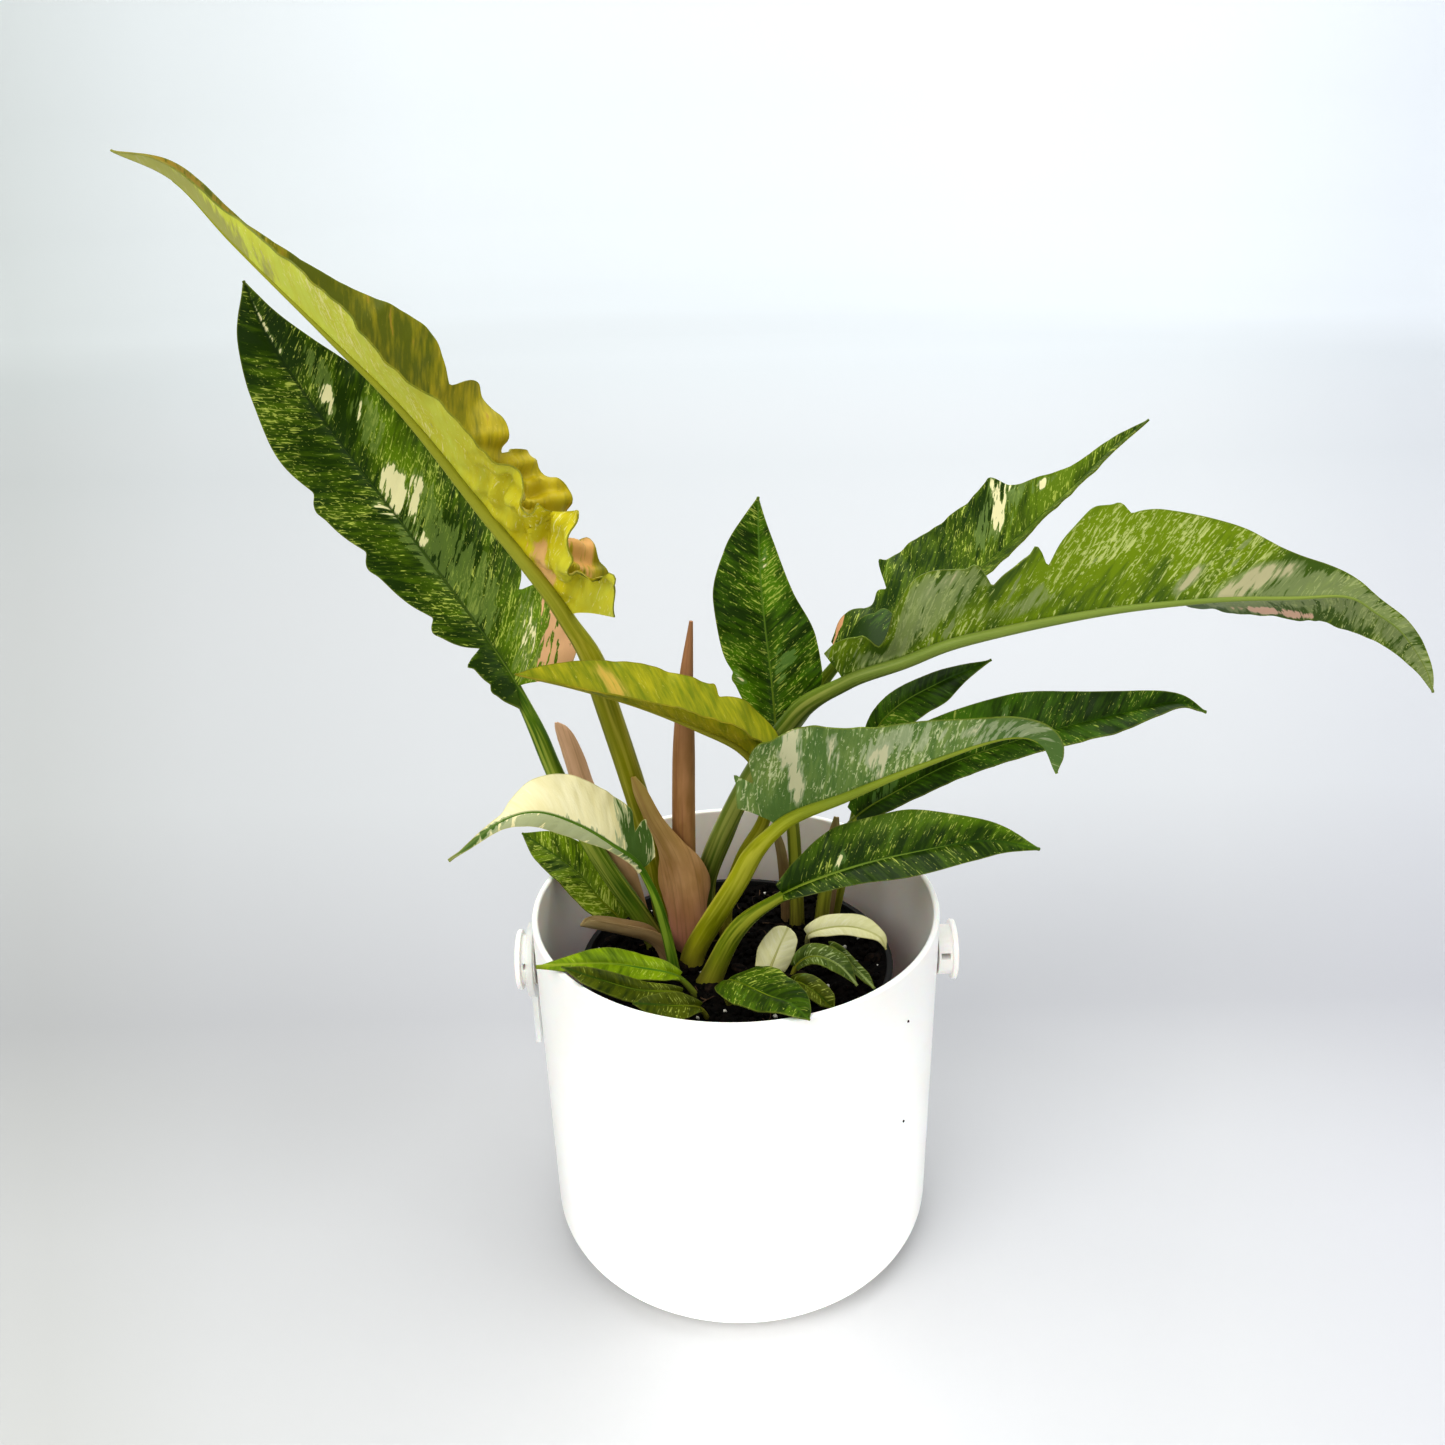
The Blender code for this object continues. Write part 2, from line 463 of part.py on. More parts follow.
def half_width(half, places):
    """The half's width, with a steep step and a small tooth at each notch."""
    width = curve_through(half["edge"], places)
    share = np.ones(len(places))
    for at, depth, length in half.get("notches", []):
        size = abs(length)
        away = (places - at) * math.copysign(1, length)
        steep = np.exp(-(away / (0.3 * size)) ** 2)
        gentle = np.exp(-(np.abs(away) / size) ** 1.3)
        share -= depth * np.where(away < 0, steep, gentle)
        share += 0.25 * depth * np.exp(-((away + 0.75 * size) / (0.3 * size)) ** 2)
    return np.maximum(width * np.clip(share, 0.12, 1.5), TIP_HALF_WIDTH)


def blade_frame(leaf, places):
    """The midrib's points, and the way along, across and up from it, at each place."""
    fine = smooth_route(leaf["route"], RULER_STEP)
    run = np.concatenate([[0], np.cumsum(np.linalg.norm(np.diff(fine, axis=0), axis=1))])
    joint = np.array(leaf["route"][leaf.get("stalk", 0)], float)
    start = run[np.argmin(np.linalg.norm(fine - joint, axis=1))]
    middle = sample(fine, run, start + places * (run[-1] - start))
    ahead = sample(fine, run, start + np.minimum(places + 0.02, 1) * (run[-1] - start))
    behind = sample(fine, run, start + np.maximum(places - 0.02, 0) * (run[-1] - start))
    along = ahead - behind
    along /= np.linalg.norm(along, axis=1)[:, None]
    across = np.cross(along, spread(leaf["facing"], places))
    across /= np.linalg.norm(across, axis=1)[:, None]
    return middle, along, across, np.cross(across, along)


def blade_point_rows(leaf, places, rows):
    """Points of the blade's middle surface: from the right edge to the left one."""
    middle, along, across, up = blade_frame(leaf, places)
    table = np.zeros((len(places), 2 * rows + 1, 3))
    for sign, key in ((1, "right"), (-1, "left")):
        half = leaf[key]
        width = half_width(half, places)
        fold = np.radians(spread(half["fold"], places))
        arch = np.radians(spread(half["arch"], places))
        arch = np.where(np.abs(arch) < 0.001, 0.001, arch)
        for row in range(rows + 1):
            share = row / rows
            angle = fold + arch * share
            out = width * (np.sin(angle) - np.sin(fold)) / arch
            rise = width * (np.cos(fold) - np.cos(angle)) / arch
            height, waves, phase, first, last = half.get("ruffle", (0, 0, 0, 0, 1))
            swell = np.clip((places - first) / 0.08, 0, 1) * np.clip((last - places) / 0.12, 0, 1)
            wave = height * swell * share ** 1.6 * np.sin(2 * math.pi * waves * places + phase)
            out = out - np.sin(angle) * wave
            rise = rise + np.cos(angle) * wave
            back = half.get("lobe", 0) * share ** 1.5 * np.exp(-places / 0.06)
            spot = middle + sign * across * out[:, None] + up * rise[:, None] - along * back[:, None]
            table[:, rows - sign * row] = spot
    return table


def stations(leaf, count):
    """Even shares of the blade's length, with more of them at each notch."""
    places = list(np.linspace(0, 1, count))
    for key in ("left", "right"):
        for at, _, length in leaf[key].get("notches", []):
            places += [at, at - 0.75 * length]
    places = sorted(p for p in places if 0 <= p <= 1)
    kept = [places[0]]
    for place in places[1:]:
        if place - kept[-1] > 0.35 / count:
            kept.append(place)
    kept[-1] = 1.0
    return np.array(kept)


def make_blade(name, leaf, count, rows, thick, group, material):
    """A flat grid moved onto the blade's surface, then given its thickness."""
    places = stations(leaf, count)
    table = blade_point_rows(leaf, places, rows)
    mesh = bpy.data.meshes.new(name)
    shape = bmesh.new()
    bmesh.ops.create_grid(shape, x_segments=len(places) - 1, y_segments=2 * rows, size=1)
    for vertex in shape.verts:
        i = round((vertex.co.x + 1) / 2 * (len(places) - 1))
        j = round((vertex.co.y + 1) / 2 * 2 * rows)
        vertex.co = table[i, j] * MM
    bmesh.ops.triangulate(shape, faces=shape.faces)
    shape.to_mesh(mesh)
    shape.free()
    thing = add_object(name, mesh, group, material)
    solidify = thing.modifiers.new("Thickness", "SOLIDIFY")
    solidify.thickness = thick * MM
    solidify.offset = 0
    return thing


def make_tube(name, points, radii, group, material):
    """A round stem through the points, with its own radius at each."""
    curve = bpy.data.curves.new(name, "CURVE")
    curve.dimensions = "3D"
    curve.bevel_depth = MM
    curve.bevel_resolution = STALK_BEVEL
    curve.use_fill_caps = True
    spline = curve.splines.new("POLY")
    spline.points.add(len(points) - 1)
    for place, point, radius in zip(spline.points, points, radii):
        place.co = (point[0] * MM, point[1] * MM, point[2] * MM, 1)
        place.radius = radius
    source = bpy.data.objects.new(name + "_curve", curve)
    group.objects.link(source)
    mesh = evaluated_mesh(source)
    mesh.transform(source.matrix_world)
    bpy.data.objects.remove(source, do_unlink=True)
    bpy.data.curves.remove(curve)
    weld(mesh)
    mesh.materials.clear()
    return add_object(name, mesh, group, material)


def weld(mesh):
    shape = bmesh.new()
    shape.from_mesh(mesh)
    bmesh.ops.remove_doubles(shape, verts=shape.verts, dist=0.00001)
    shape.to_mesh(mesh)
    shape.free()


def stem_points(leaf):
    """The stalk's points from the soil, and on along the midrib's underside."""
    places = np.linspace(0, RIB_SHARE, RIB_POINTS)
    middle, _, _, up = blade_frame(leaf, places)
    foot, top = leaf["radius"]
    rib = RIB_START * top * (1 - places) ** RIB_TAPER + RIB_LEAST
    joint = np.array(leaf["route"][leaf["stalk"]], float)
    stalk = smooth_route(leaf["route"], RULER_STEP)
    end = np.argmin(np.linalg.norm(stalk - joint, axis=1))
    keep = max(3, round((end - JOINT_GAP) / STALK_STEP) + 1)
    index = np.linspace(0, end - JOINT_GAP - 1, keep).round().astype(int)
    slip = np.clip(1 - (end - index) * RULER_STEP / SLIP_LENGTH, 0, 1)
    slip = slip * slip * (3 - 2 * slip)
    stalk = stalk[index] - up[0] * (RIB_DROP * rib[0] * slip)[:, None]
    under = middle - up * (RIB_DROP * rib)[:, None]
    stalk_radii = np.linspace(foot, top, keep)
    radii = np.concatenate([stalk_radii + (rib[0] - stalk_radii) * slip, rib])
    return np.vstack([stalk, under]), radii


def make_leaf(name, leaf, count, rows, group, material):
    """One leaf: its blade, stalk and midrib joined in one solid."""
    points, radii = stem_points(leaf)
    stem = make_tube(name + "_stem", points, radii, group, None)
    thing = make_blade(name, leaf, count, rows, BLADE_THICK, group, material)
    boolean(thing, stem, "UNION")
    bake(thing)
    bpy.data.objects.remove(stem, do_unlink=True)
    return thing


def make_cover_pot(group, cutters):
    inner_round = FOOT_ROUND - POT_WALL
    foot = (POT_FOOT_RADIUS - FOOT_ROUND, FOOT_ROUND)
    floor_edge = (POT_FOOT_RADIUS - POT_WALL - inner_round, POT_FLOOR + inner_round)
    rim = (POT_TOP_RADIUS - RIM_ROUND, POT_HEIGHT - RIM_ROUND)
    profile = [(0, POT_FLOOR)]
    profile += arc(floor_edge, inner_round, -90, 0, 4)
    profile += [(POT_TOP_RADIUS - POT_WALL, POT_HEIGHT - RIM_ROUND)]
    profile += [(POT_TOP_RADIUS - POT_WALL + RIM_ROUND, POT_HEIGHT)]
    profile += arc(rim, RIM_ROUND, 90, 0, 2)
    profile += arc(foot, FOOT_ROUND, 0, -90, 5)
    profile += [(0, 0)]
    pot = turned("cover_pot", profile, POT_STEPS, group, "white_plastic")
    for side in (-1, 1):
        place = (side * POT_TOP_RADIUS, 0, PEG_HEIGHT)
        hole = sideways_disc("peg_hole", PEG_SHANK_RADIUS + HOLE_CLEARANCE, CUTTER_DEPTH, place, PEG_STEPS)
        make_cutter(hole, cutters)
        boolean(pot, hole, "DIFFERENCE")
    return pot


def sideways_disc(name, radius, depth, place, steps):
    """A cylinder whose axis is X."""
    location = [value * MM for value in place]
    bpy.ops.mesh.primitive_cylinder_add(vertices=steps, radius=radius * MM, depth=depth * MM,
                                        location=location, rotation=(0, math.pi / 2, 0))
    disc = bpy.context.object
    disc.name = name
    return disc


def box(name, size, place):
    """A box of the given size, its middle at the given place."""
    bpy.ops.mesh.primitive_cube_add(size=1, location=[value * MM for value in place])
    block = bpy.context.object
    block.name = name
    block.scale = [value * MM for value in size]
    return block


def wall_radius(height):
    """The cover pot's outer radius at a height above its rounded foot."""
    share = (height - FOOT_ROUND) / (POT_HEIGHT - FOOT_ROUND)
    return POT_FOOT_RADIUS + share * (POT_TOP_RADIUS - POT_FOOT_RADIUS)


def make_peg(name, side, group, cutters):
    """A turned peg, standing out from the wall along +X or -X, with a slit neck."""
    head = PEG_NECK_LENGTH + PEG_HEAD_THICK
    profile = [(0, head + PEG_HEAD_CROWN), (0.5 * PEG_HEAD_RADIUS, head + 0.75 * PEG_HEAD_CROWN)]
    profile += [(PEG_HEAD_RADIUS - RIM_ROUND, head), (PEG_HEAD_RADIUS, head - RIM_ROUND)]
    profile += [(PEG_HEAD_RADIUS, PEG_NECK_LENGTH + PEG_EDGE)]
    profile += [(PEG_HEAD_RADIUS - PEG_EDGE, PEG_NECK_LENGTH)]
    profile += [(PEG_NECK_RADIUS, PEG_NECK_LENGTH), (PEG_NECK_RADIUS, PEG_STANDOFF)]
    profile += [(PEG_SHANK_RADIUS, PEG_STANDOFF), (PEG_SHANK_RADIUS, -POT_WALL), (0, -POT_WALL)]
    peg = turned(name, profile, PEG_STEPS, group, "white_plastic")
    peg.location = (side * wall_radius(PEG_HEIGHT) * MM, 0, PEG_HEIGHT * MM)
    peg.rotation_euler = (0, side * math.pi / 2, 0)
    slit_start = PEG_STANDOFF + PEG_WEB
    slit_end = PEG_NECK_LENGTH - PEG_WEB
    centre = wall_radius(PEG_HEIGHT) + (slit_start + slit_end) / 2
    slit = box(name + "_slit", (slit_end - slit_start, 3 * PEG_NECK_RADIUS, PEG_SLOT),
               (side * centre, 0, PEG_HEIGHT))
    make_cutter(slit, cutters)
    boolean(peg, slit, "DIFFERENCE")
    return peg


def make_eyelet(group, cutters):
    """The strap's flat eyelet on the left peg's neck, with its tail hanging down."""
    place = (-(wall_radius(PEG_HEIGHT) + EYELET_SEAT), 0, PEG_HEIGHT)
    ring = sideways_disc("strap_eyelet", EYELET_RADIUS, EYELET_THICK, place, EYELET_STEPS)
    move_to(ring, group)
    ring.data.materials.append(finish("clear_strap"))
    sunk = (EYELET_RADIUS - EYELET_HOLE_RADIUS) / 2
    drop = EYELET_RADIUS + STRAP_TAIL / 2 - sunk
    tail = box("strap_tail", (STRAP_THICK, STRAP_WIDTH, STRAP_TAIL), (place[0], 0, PEG_HEIGHT - drop))
    make_cutter(tail, cutters)
    boolean(ring, tail, "UNION")
    hole = sideways_disc("eyelet_hole", EYELET_HOLE_RADIUS, CUTTER_DEPTH, place, PEG_STEPS)
    make_cutter(hole, cutters)
    boolean(ring, hole, "DIFFERENCE")
    return ring


def make_nursery_pot(group):
    foot = POT_FLOOR + GAP
    floor = foot + NURSERY_WALL
    top_inner = NURSERY_TOP_RADIUS - NURSERY_WALL
    profile = [(0, floor), (NURSERY_FOOT_RADIUS - NURSERY_WALL, floor)]
    lip = NURSERY_TOP - NURSERY_LIP_DROP
    profile += [(top_inner, NURSERY_TOP), (NURSERY_TOP_RADIUS + NURSERY_LIP, NURSERY_TOP)]
    profile += [(NURSERY_TOP_RADIUS + NURSERY_LIP, lip), (NURSERY_TOP_RADIUS, lip)]
    profile += [(NURSERY_FOOT_RADIUS, foot), (0, foot)]
    return turned("nursery_pot", profile, NURSERY_STEPS, group, "black_plastic")


def make_soil(group, holes):
    """The root ball: its sides follow the pot, and its top swells gently."""
    foot = POT_FLOOR + GAP + NURSERY_WALL + GAP
    slope = (NURSERY_TOP_RADIUS - NURSERY_FOOT_RADIUS) / (NURSERY_TOP - POT_FLOOR - GAP)
    bottom = NURSERY_FOOT_RADIUS - NURSERY_WALL - 2 * GAP
    edge = bottom + slope * (SOIL_TOP - foot)
    rings = [(edge * share, SOIL_TOP) for share in (0.25, 0.5, 0.75, 1)]
    profile = [(0, SOIL_TOP)] + rings + [(bottom, foot), (0, foot)]
    soil = turned("soil", profile, NURSERY_STEPS, group, "potting_soil")
    for vertex in soil.data.vertices:
        x, y, z = (value / MM for value in vertex.co)
        reach = math.hypot(x, y) / edge
        if z > SOIL_TOP - 1 and reach < 0.9:
            swell = math.sin(x / 9) * math.cos(y / 11) + math.sin((x + y) / 15)
            vertex.co.z += SOIL_SWELL * 0.5 * swell * MM
    for hole in holes:
        boolean(soil, hole, "DIFFERENCE")
    return soil


def lowered(points):
    """The same points, with the first pulled down along the line by the hole's clearance."""
    first, second = np.array(points[0], float), np.array(points[1], float)
    back = (first - second) / np.linalg.norm(first - second)
    return [tuple(first + 2 * HOLE_CLEARANCE * back)] + [tuple(point) for point in points[1:]]


def stem_hole(name, points, radii, cutters):
    """A plain hole in the soil, a little wider than the stem that stands in it."""
    wide = [radius + HOLE_CLEARANCE for radius in radii[:4]]
    hole = make_tube(name + "_hole", lowered(points[:4]), wide, cutters, None)
    make_cutter(hole, cutters)
    return hole


def sheath_hole(name, leaf, cutters):
    """A slot in the soil that follows the sheath's own foot."""
    wide = dict(leaf, route=lowered(leaf["route"]))
    for key in ("left", "right"):
        edge = [(place, width + HOLE_CLEARANCE) for place, width in leaf[key]["edge"]]
        foot = edge[0][1] / leaf[key]["edge"][0][1]
        arch = spread(leaf[key]["arch"], np.linspace(0, 1, 9)) * foot
        wide[key] = dict(leaf[key], edge=edge, arch=arch)
    thick = SHEATH_THICK + 2 * HOLE_CLEARANCE
    hole = make_blade(name + "_hole", wide, SHEATH_STATIONS, SHEATH_ROWS, thick, cutters, None)
    make_cutter(hole, cutters)
    return hole


def spike_points():
    points = smooth_route(SPIKE_ROUTE, STALK_STEP)
    return points, curve_through(SPIKE_RADII, np.linspace(0, 1, len(points)))


def leaf_colour(name):
    if "cream" in name:
        return "leaf_cream"
    return "leaf_olive" if name in ("leaf_olive", "leaf_tall_left") else "leaf_green"


def shade(things):
    for thing in things:
        thing.data.shade_smooth()
        thing.data.set_sharp_from_angle(angle=math.radians(35))


def main():
    clear_scene()
    plant = new_collection("potted_philodendron")
    cutters = new_collection("cutters")
    make_cover_pot(plant, cutters)
    make_peg("strap_peg_left", -1, plant, cutters)
    make_peg("strap_peg_right", 1, plant, cutters)
    make_eyelet(plant, cutters)
    make_nursery_pot(plant)
    holes = []
    sizes = ((LARGE_LEAVES, LARGE_STATIONS, LARGE_ROWS), (SMALL_LEAVES, SMALL_STATIONS, SMALL_ROWS))
    for leaves, count, rows in sizes:
        for name, leaf in leaves.items():
            make_leaf(name, leaf, count, rows, plant, leaf_colour(name))
            holes.append(stem_hole(name, *stem_points(leaf), cutters))
    for name, leaf in SHEATHS.items():
        make_blade(name, leaf, SHEATH_STATIONS, SHEATH_ROWS, SHEATH_THICK, plant, "sheath_pink")
        holes.append(sheath_hole(name, leaf, cutters))
    points, radii = spike_points()
    make_tube("new_leaf_spike", points, radii, plant, "sheath_pink")
    holes.append(stem_hole("new_leaf_spike", points, radii, cutters))
    make_soil(plant, holes)
    shade(plant.objects)


main()
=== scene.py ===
# %% [markdown]
# # A potted, variegated philodendron
#
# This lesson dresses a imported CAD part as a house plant: a philodendron with long, lobed,
# cream-splashed leaves, in a black nursery pot that stands inside a white cover pot.
# The CAD part holds every solid in its right place, and each piece made here stands for one of them.
# The looks come from geometry first, such as wavy blades, grooves and crumbs of soil,
# and then from materials that are mixed from noise at real sizes.

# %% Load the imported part
import math

import bmesh
import bpy
import numpy as np
from mathutils import Matrix, Vector


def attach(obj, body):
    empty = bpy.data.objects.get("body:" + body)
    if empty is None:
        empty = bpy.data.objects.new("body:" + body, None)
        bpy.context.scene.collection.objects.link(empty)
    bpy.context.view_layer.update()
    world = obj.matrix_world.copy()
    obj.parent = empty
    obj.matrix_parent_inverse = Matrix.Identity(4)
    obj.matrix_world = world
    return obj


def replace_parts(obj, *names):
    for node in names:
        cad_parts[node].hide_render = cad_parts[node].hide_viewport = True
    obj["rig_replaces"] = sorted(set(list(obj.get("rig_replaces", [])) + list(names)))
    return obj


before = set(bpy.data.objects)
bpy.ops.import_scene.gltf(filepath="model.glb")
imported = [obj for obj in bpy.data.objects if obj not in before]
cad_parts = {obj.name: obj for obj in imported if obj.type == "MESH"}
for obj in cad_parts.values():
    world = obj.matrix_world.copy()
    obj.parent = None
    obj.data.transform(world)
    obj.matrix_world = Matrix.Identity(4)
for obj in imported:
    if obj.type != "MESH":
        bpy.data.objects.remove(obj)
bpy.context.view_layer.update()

MM = 0.001

# %% [markdown]
# ## The camera
#
# A photograph can be matched by eye, but circles help more. The pot's rim and foot are true circles
# of known size, so the ellipses that they make fix the lens, the distance and the tilt.
# Here the lens comes out close to the sensor's own width, looking 24.6 degrees down from half a metre.

# %% Camera
SENSOR_MM = 36.0
PHOTO_SIZE = 1445
FOCAL_PIXELS = 1448
LOOK_DOWN = math.radians(24.6)
ROLL = -0.0249

bpy.ops.object.camera_add(location=(-0.0033, -0.4902, 0.4538))
camera = bpy.context.object
camera.name = "photo_camera"
camera.data.sensor_width = SENSOR_MM
camera.data.lens = SENSOR_MM * FOCAL_PIXELS / PHOTO_SIZE
camera.data.clip_start = 0.01
camera.data.clip_end = 50
tilt = Matrix.Rotation(math.pi / 2 - LOOK_DOWN, 4, "X") @ Matrix.Rotation(ROLL, 4, "Z")
camera.rotation_euler = tilt.to_euler()
bpy.context.scene.camera = camera
print("lens in mm:", round(camera.data.lens, 2))

# %% [markdown]
# ## Helpers for modelling
#
# The same few steps come back for every piece: start clean, name the new mesh, pick some faces or
# edges by where they are, run a modifier and keep its result. Each is a small function here, so that
# the cells further down read like the work at the bench.

# %% Small modelling helpers
def deselect():
    bpy.ops.object.select_all(action="DESELECT")


def mode(kind):
    bpy.ops.object.mode_set(mode=kind)


def named(name):
    """Name the primitive just added, and put its place into its mesh."""
    piece = bpy.context.object
    piece.name = piece.data.name = name
    bpy.ops.object.transform_apply(location=True, rotation=True, scale=True)
    return piece


def cylinder(name, radius, depth, x, z, sides=72, lying=True):
    """A cylinder in mm over the x axis, lying along it or standing up."""
    deselect()
    bpy.ops.mesh.primitive_cylinder_add(vertices=sides, radius=radius * MM, depth=depth * MM,
                                        location=(x * MM, 0, z * MM),
                                        rotation=(0, math.pi / 2 if lying else 0, 0))
    return named(name)


def box(name, sizes, x, z):
    """A box in mm over the x axis."""
    deselect()
    bpy.ops.mesh.primitive_cube_add(size=1, scale=[size * MM for size in sizes], location=(x * MM, 0, z * MM))
    return named(name)


def work_on(piece):
    deselect()
    piece.select_set(True)
    bpy.context.view_layer.objects.active = piece


def pick(piece, kind, wanted):
    """In edit mode, select only the faces or edges that pass the test."""
    bpy.ops.mesh.select_mode(type="FACE" if kind == "faces" else "EDGE")
    bpy.ops.mesh.select_all(action="DESELECT")
    shape = bmesh.from_edit_mesh(piece.data)
    for item in getattr(shape, kind):
        if kind == "faces":
            chosen = wanted(item.calc_center_median(), item.normal)
        else:
            chosen = all(wanted(vertex.co, item) for vertex in item.verts)
        if chosen:
            item.select_set(True)
    bmesh.update_edit_mesh(piece.data)


def turn_faces_out():
    bpy.ops.mesh.select_all(action="SELECT")
    bpy.ops.mesh.normals_make_consistent(inside=False)


def apply_modifier(piece, kind, **settings):
    modifier = piece.modifiers.new(kind.title(), kind)
    for key, value in settings.items():
        setattr(modifier, key, value)
    work_on(piece)
    bpy.ops.object.modifier_apply(modifier=modifier.name)


def combine(piece, other, operation):
    """Add another piece to this one or cut it out, and use it up."""
    apply_modifier(piece, "BOOLEAN", operation=operation, object=other, solver="EXACT")
    bpy.data.objects.remove(other)


def break_edges(piece, width, segments):
    """Round off every sharp edge by a width in mm."""
    apply_modifier(piece, "BEVEL", width=width * MM, segments=segments, limit_method="ANGLE",
                   angle_limit=math.radians(50))


def hand_over(piece, nodes=(), material=None, angle=40):
    """Smooth the piece, let it ride on the part, and let it stand for its CAD nodes."""
    if material:
        piece.data.materials.append(material)
    work_on(piece)
    bpy.ops.object.shade_smooth_by_angle(angle=math.radians(angle))
    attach(piece, "root")
    if nodes:
        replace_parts(piece, *nodes)
    print(piece.name, len(piece.data.polygons), "faces")


# %% [markdown]
# ## Helpers for materials
#
# A colour read off a screen is an sRGB hex value, but light adds up in linear numbers, so one function
# turns the first into the second. Node trees are built with one other function, which adds a node,
# sets what it is told to, and links whatever it is handed. A few short names stand for common uses of it.

# %% Colours and nodes
def colour(code):
    channels = [int(code[i:i + 2], 16) / 255 for i in (0, 2, 4)]
    return [c / 12.92 if c <= 0.04045 else ((c + 0.055) / 1.055) ** 2.4 for c in channels] + [1.0]


def add_node(tree, kind, inputs=None, **settings):
    """Add a node. Inputs are given by socket, and may be values, sockets or whole nodes."""
    node = tree.nodes.new("ShaderNode" + kind)
    for key, value in settings.items():
        setattr(node, key, value)
    for socket, value in (inputs or {}).items():
        if isinstance(value, bpy.types.Node):
            value = value.outputs[0]
        if isinstance(value, bpy.types.NodeSocket):
            tree.links.new(value, node.inputs[socket])
        else:
            node.inputs[socket].default_value = value
    return node


def new_material(name, roughness, **sockets):
    """A Principled material, with its constants set on the shader itself."""
    material = bpy.data.materials.new(name)
    material.use_nodes = True
    shader = material.node_tree.nodes["Principled BSDF"]
    shader.inputs["Roughness"].default_value = roughness
    for socket, value in sockets.items():
        shader.inputs[socket.replace("_", " ")].default_value = value
    return material, material.node_tree, shader


def link(tree, value, shader, socket):
    source = value.outputs[0] if isinstance(value, bpy.types.Node) else value
    tree.links.new(source, shader.inputs[socket])


# %% Short names for common nodes
def ranged(tree, value, start, end, low=0.0, high=1.0):
    """A number that runs from low to high while the value runs from start to end."""
    return add_node(tree, "MapRange", {0: value, 1: start, 2: end, 3: low, 4: high})


def maths(tree, operation, *values, **settings):
    return add_node(tree, "Math", dict(enumerate(values)), operation=operation, **settings)


def blend(tree, share, below, above, **settings):
    """One colour laid over another by a share. Each is a hex code or comes from a node."""
    below, above = (colour(side) if isinstance(side, str) else side for side in (below, above))
    return add_node(tree, "Mix", {0: share, 6: below, 7: above}, data_type="RGBA", **settings).outputs[2]


def layered(tree, face, layers):
    """Colours laid over a face one by one, each where its mask says."""
    for mask, code in layers:
        face = blend(tree, mask, face, code)
    return face


def object_noise(tree, place, grain_mm, detail):
    return add_node(tree, "TexNoise", {"Vector": place, "Scale": 1 / (grain_mm * MM), "Detail": detail})


def drawn_out_noises(tree, place_mm, grains):
    """Noises with a grain of their own in each direction, in mm, and a detail. An infinite grain is
    even that way."""
    noises = []
    for *lengths, detail in grains:
        scaled = add_node(tree, "VectorMath", {0: place_mm, 1: [1 / length for length in lengths]},
                          operation="MULTIPLY")
        noises.append(add_node(tree, "TexNoise", {"Vector": scaled, "Scale": 1.0, "Detail": detail}))
    return noises


def kept(tree, label):
    """What was kept on the mesh's points under a label."""
    return add_node(tree, "Attribute", attribute_name=label).outputs["Vector"]


def give_surface(tree, shader, face, height, strength, depth_mm):
    """The shader gets its colour, and bumps too fine to model."""
    link(tree, face, shader, "Base Color")
    bump = add_node(tree, "Bump", {"Height": height, "Strength": strength, "Distance": depth_mm * MM})
    link(tree, bump, shader, "Normal")


# %% [markdown]
# ## The floor and the light
#
# The plant stands on a white paper sweep. A flat plane would show its far edge and a hard horizon,
# so the floor is one big shallow bowl: flat under the pot, and curving up all round, far enough out
# that every side view has a pale backdrop too. Its colour holds painted shade, greyer in a band behind the
# pot and towards the sides, and where it rises it glows with painted light. Large area lamps and a pale sky
# keep the shadows soft.

# %% Floor
FLAT_RADIUS = 2.2
BOWL = ((2.6, 0.03), (3.0, 0.14), (3.35, 0.36), (3.6, 0.7), (3.75, 1.2), (3.8, 2.0))  # radius, height

bpy.ops.mesh.primitive_circle_add(vertices=96, radius=FLAT_RADIUS, fill_type="NGON")
floor = named("paper_sweep")
mode("EDIT")
radius, height = FLAT_RADIUS, 0.0
pick(floor, "edges", lambda co, edge: edge.is_boundary)
for ring_radius, ring_height in BOWL:
    bpy.ops.mesh.extrude_edges_move(TRANSFORM_OT_translate={"value": (0, 0, ring_height - height)})
    ratio = ring_radius / radius
    bpy.ops.transform.resize(value=(ratio, ratio, 1), center_override=(0, 0, ring_height))
    radius, height = ring_radius, ring_height
bpy.ops.mesh.select_all(action="SELECT")
bpy.ops.mesh.normals_make_consistent(inside=True)
mode("OBJECT")
bpy.ops.object.shade_smooth()

# Matt white paper. Its colour holds painted shade: greyer in a band just behind the pot, lighter further
# back, and darker towards the sides. Where it rises it glows with painted light.
# Each list runs along the floor or up the backdrop, or across it from left to right.
PAPER_PAINTED_SHADE = ((0.0, "CFCFCD"), (0.054, "CCCCCC"), (0.108, "C6C6C7"), (0.146, "BBBBBC"),
               (0.169, "B4B4B6"), (0.262, "C2C3C4"), (0.423, "CBCCCD"), (0.6, "D5D7D8"),
               (0.69, "DEE0E1"), (0.83, "EAEDEE"), (0.88, "EFF2F3"), (0.95, "F3F6F7"))
PAPER_PAINTED_SIDE_SHADE = ((0.0, "ECECE8"), (0.12, "F4F4F2"), (0.3, "F9F9F8"), (0.7, "FFFFFF"), (0.85, "FFFFFF"),
               (1.0, "F9F9FB"))
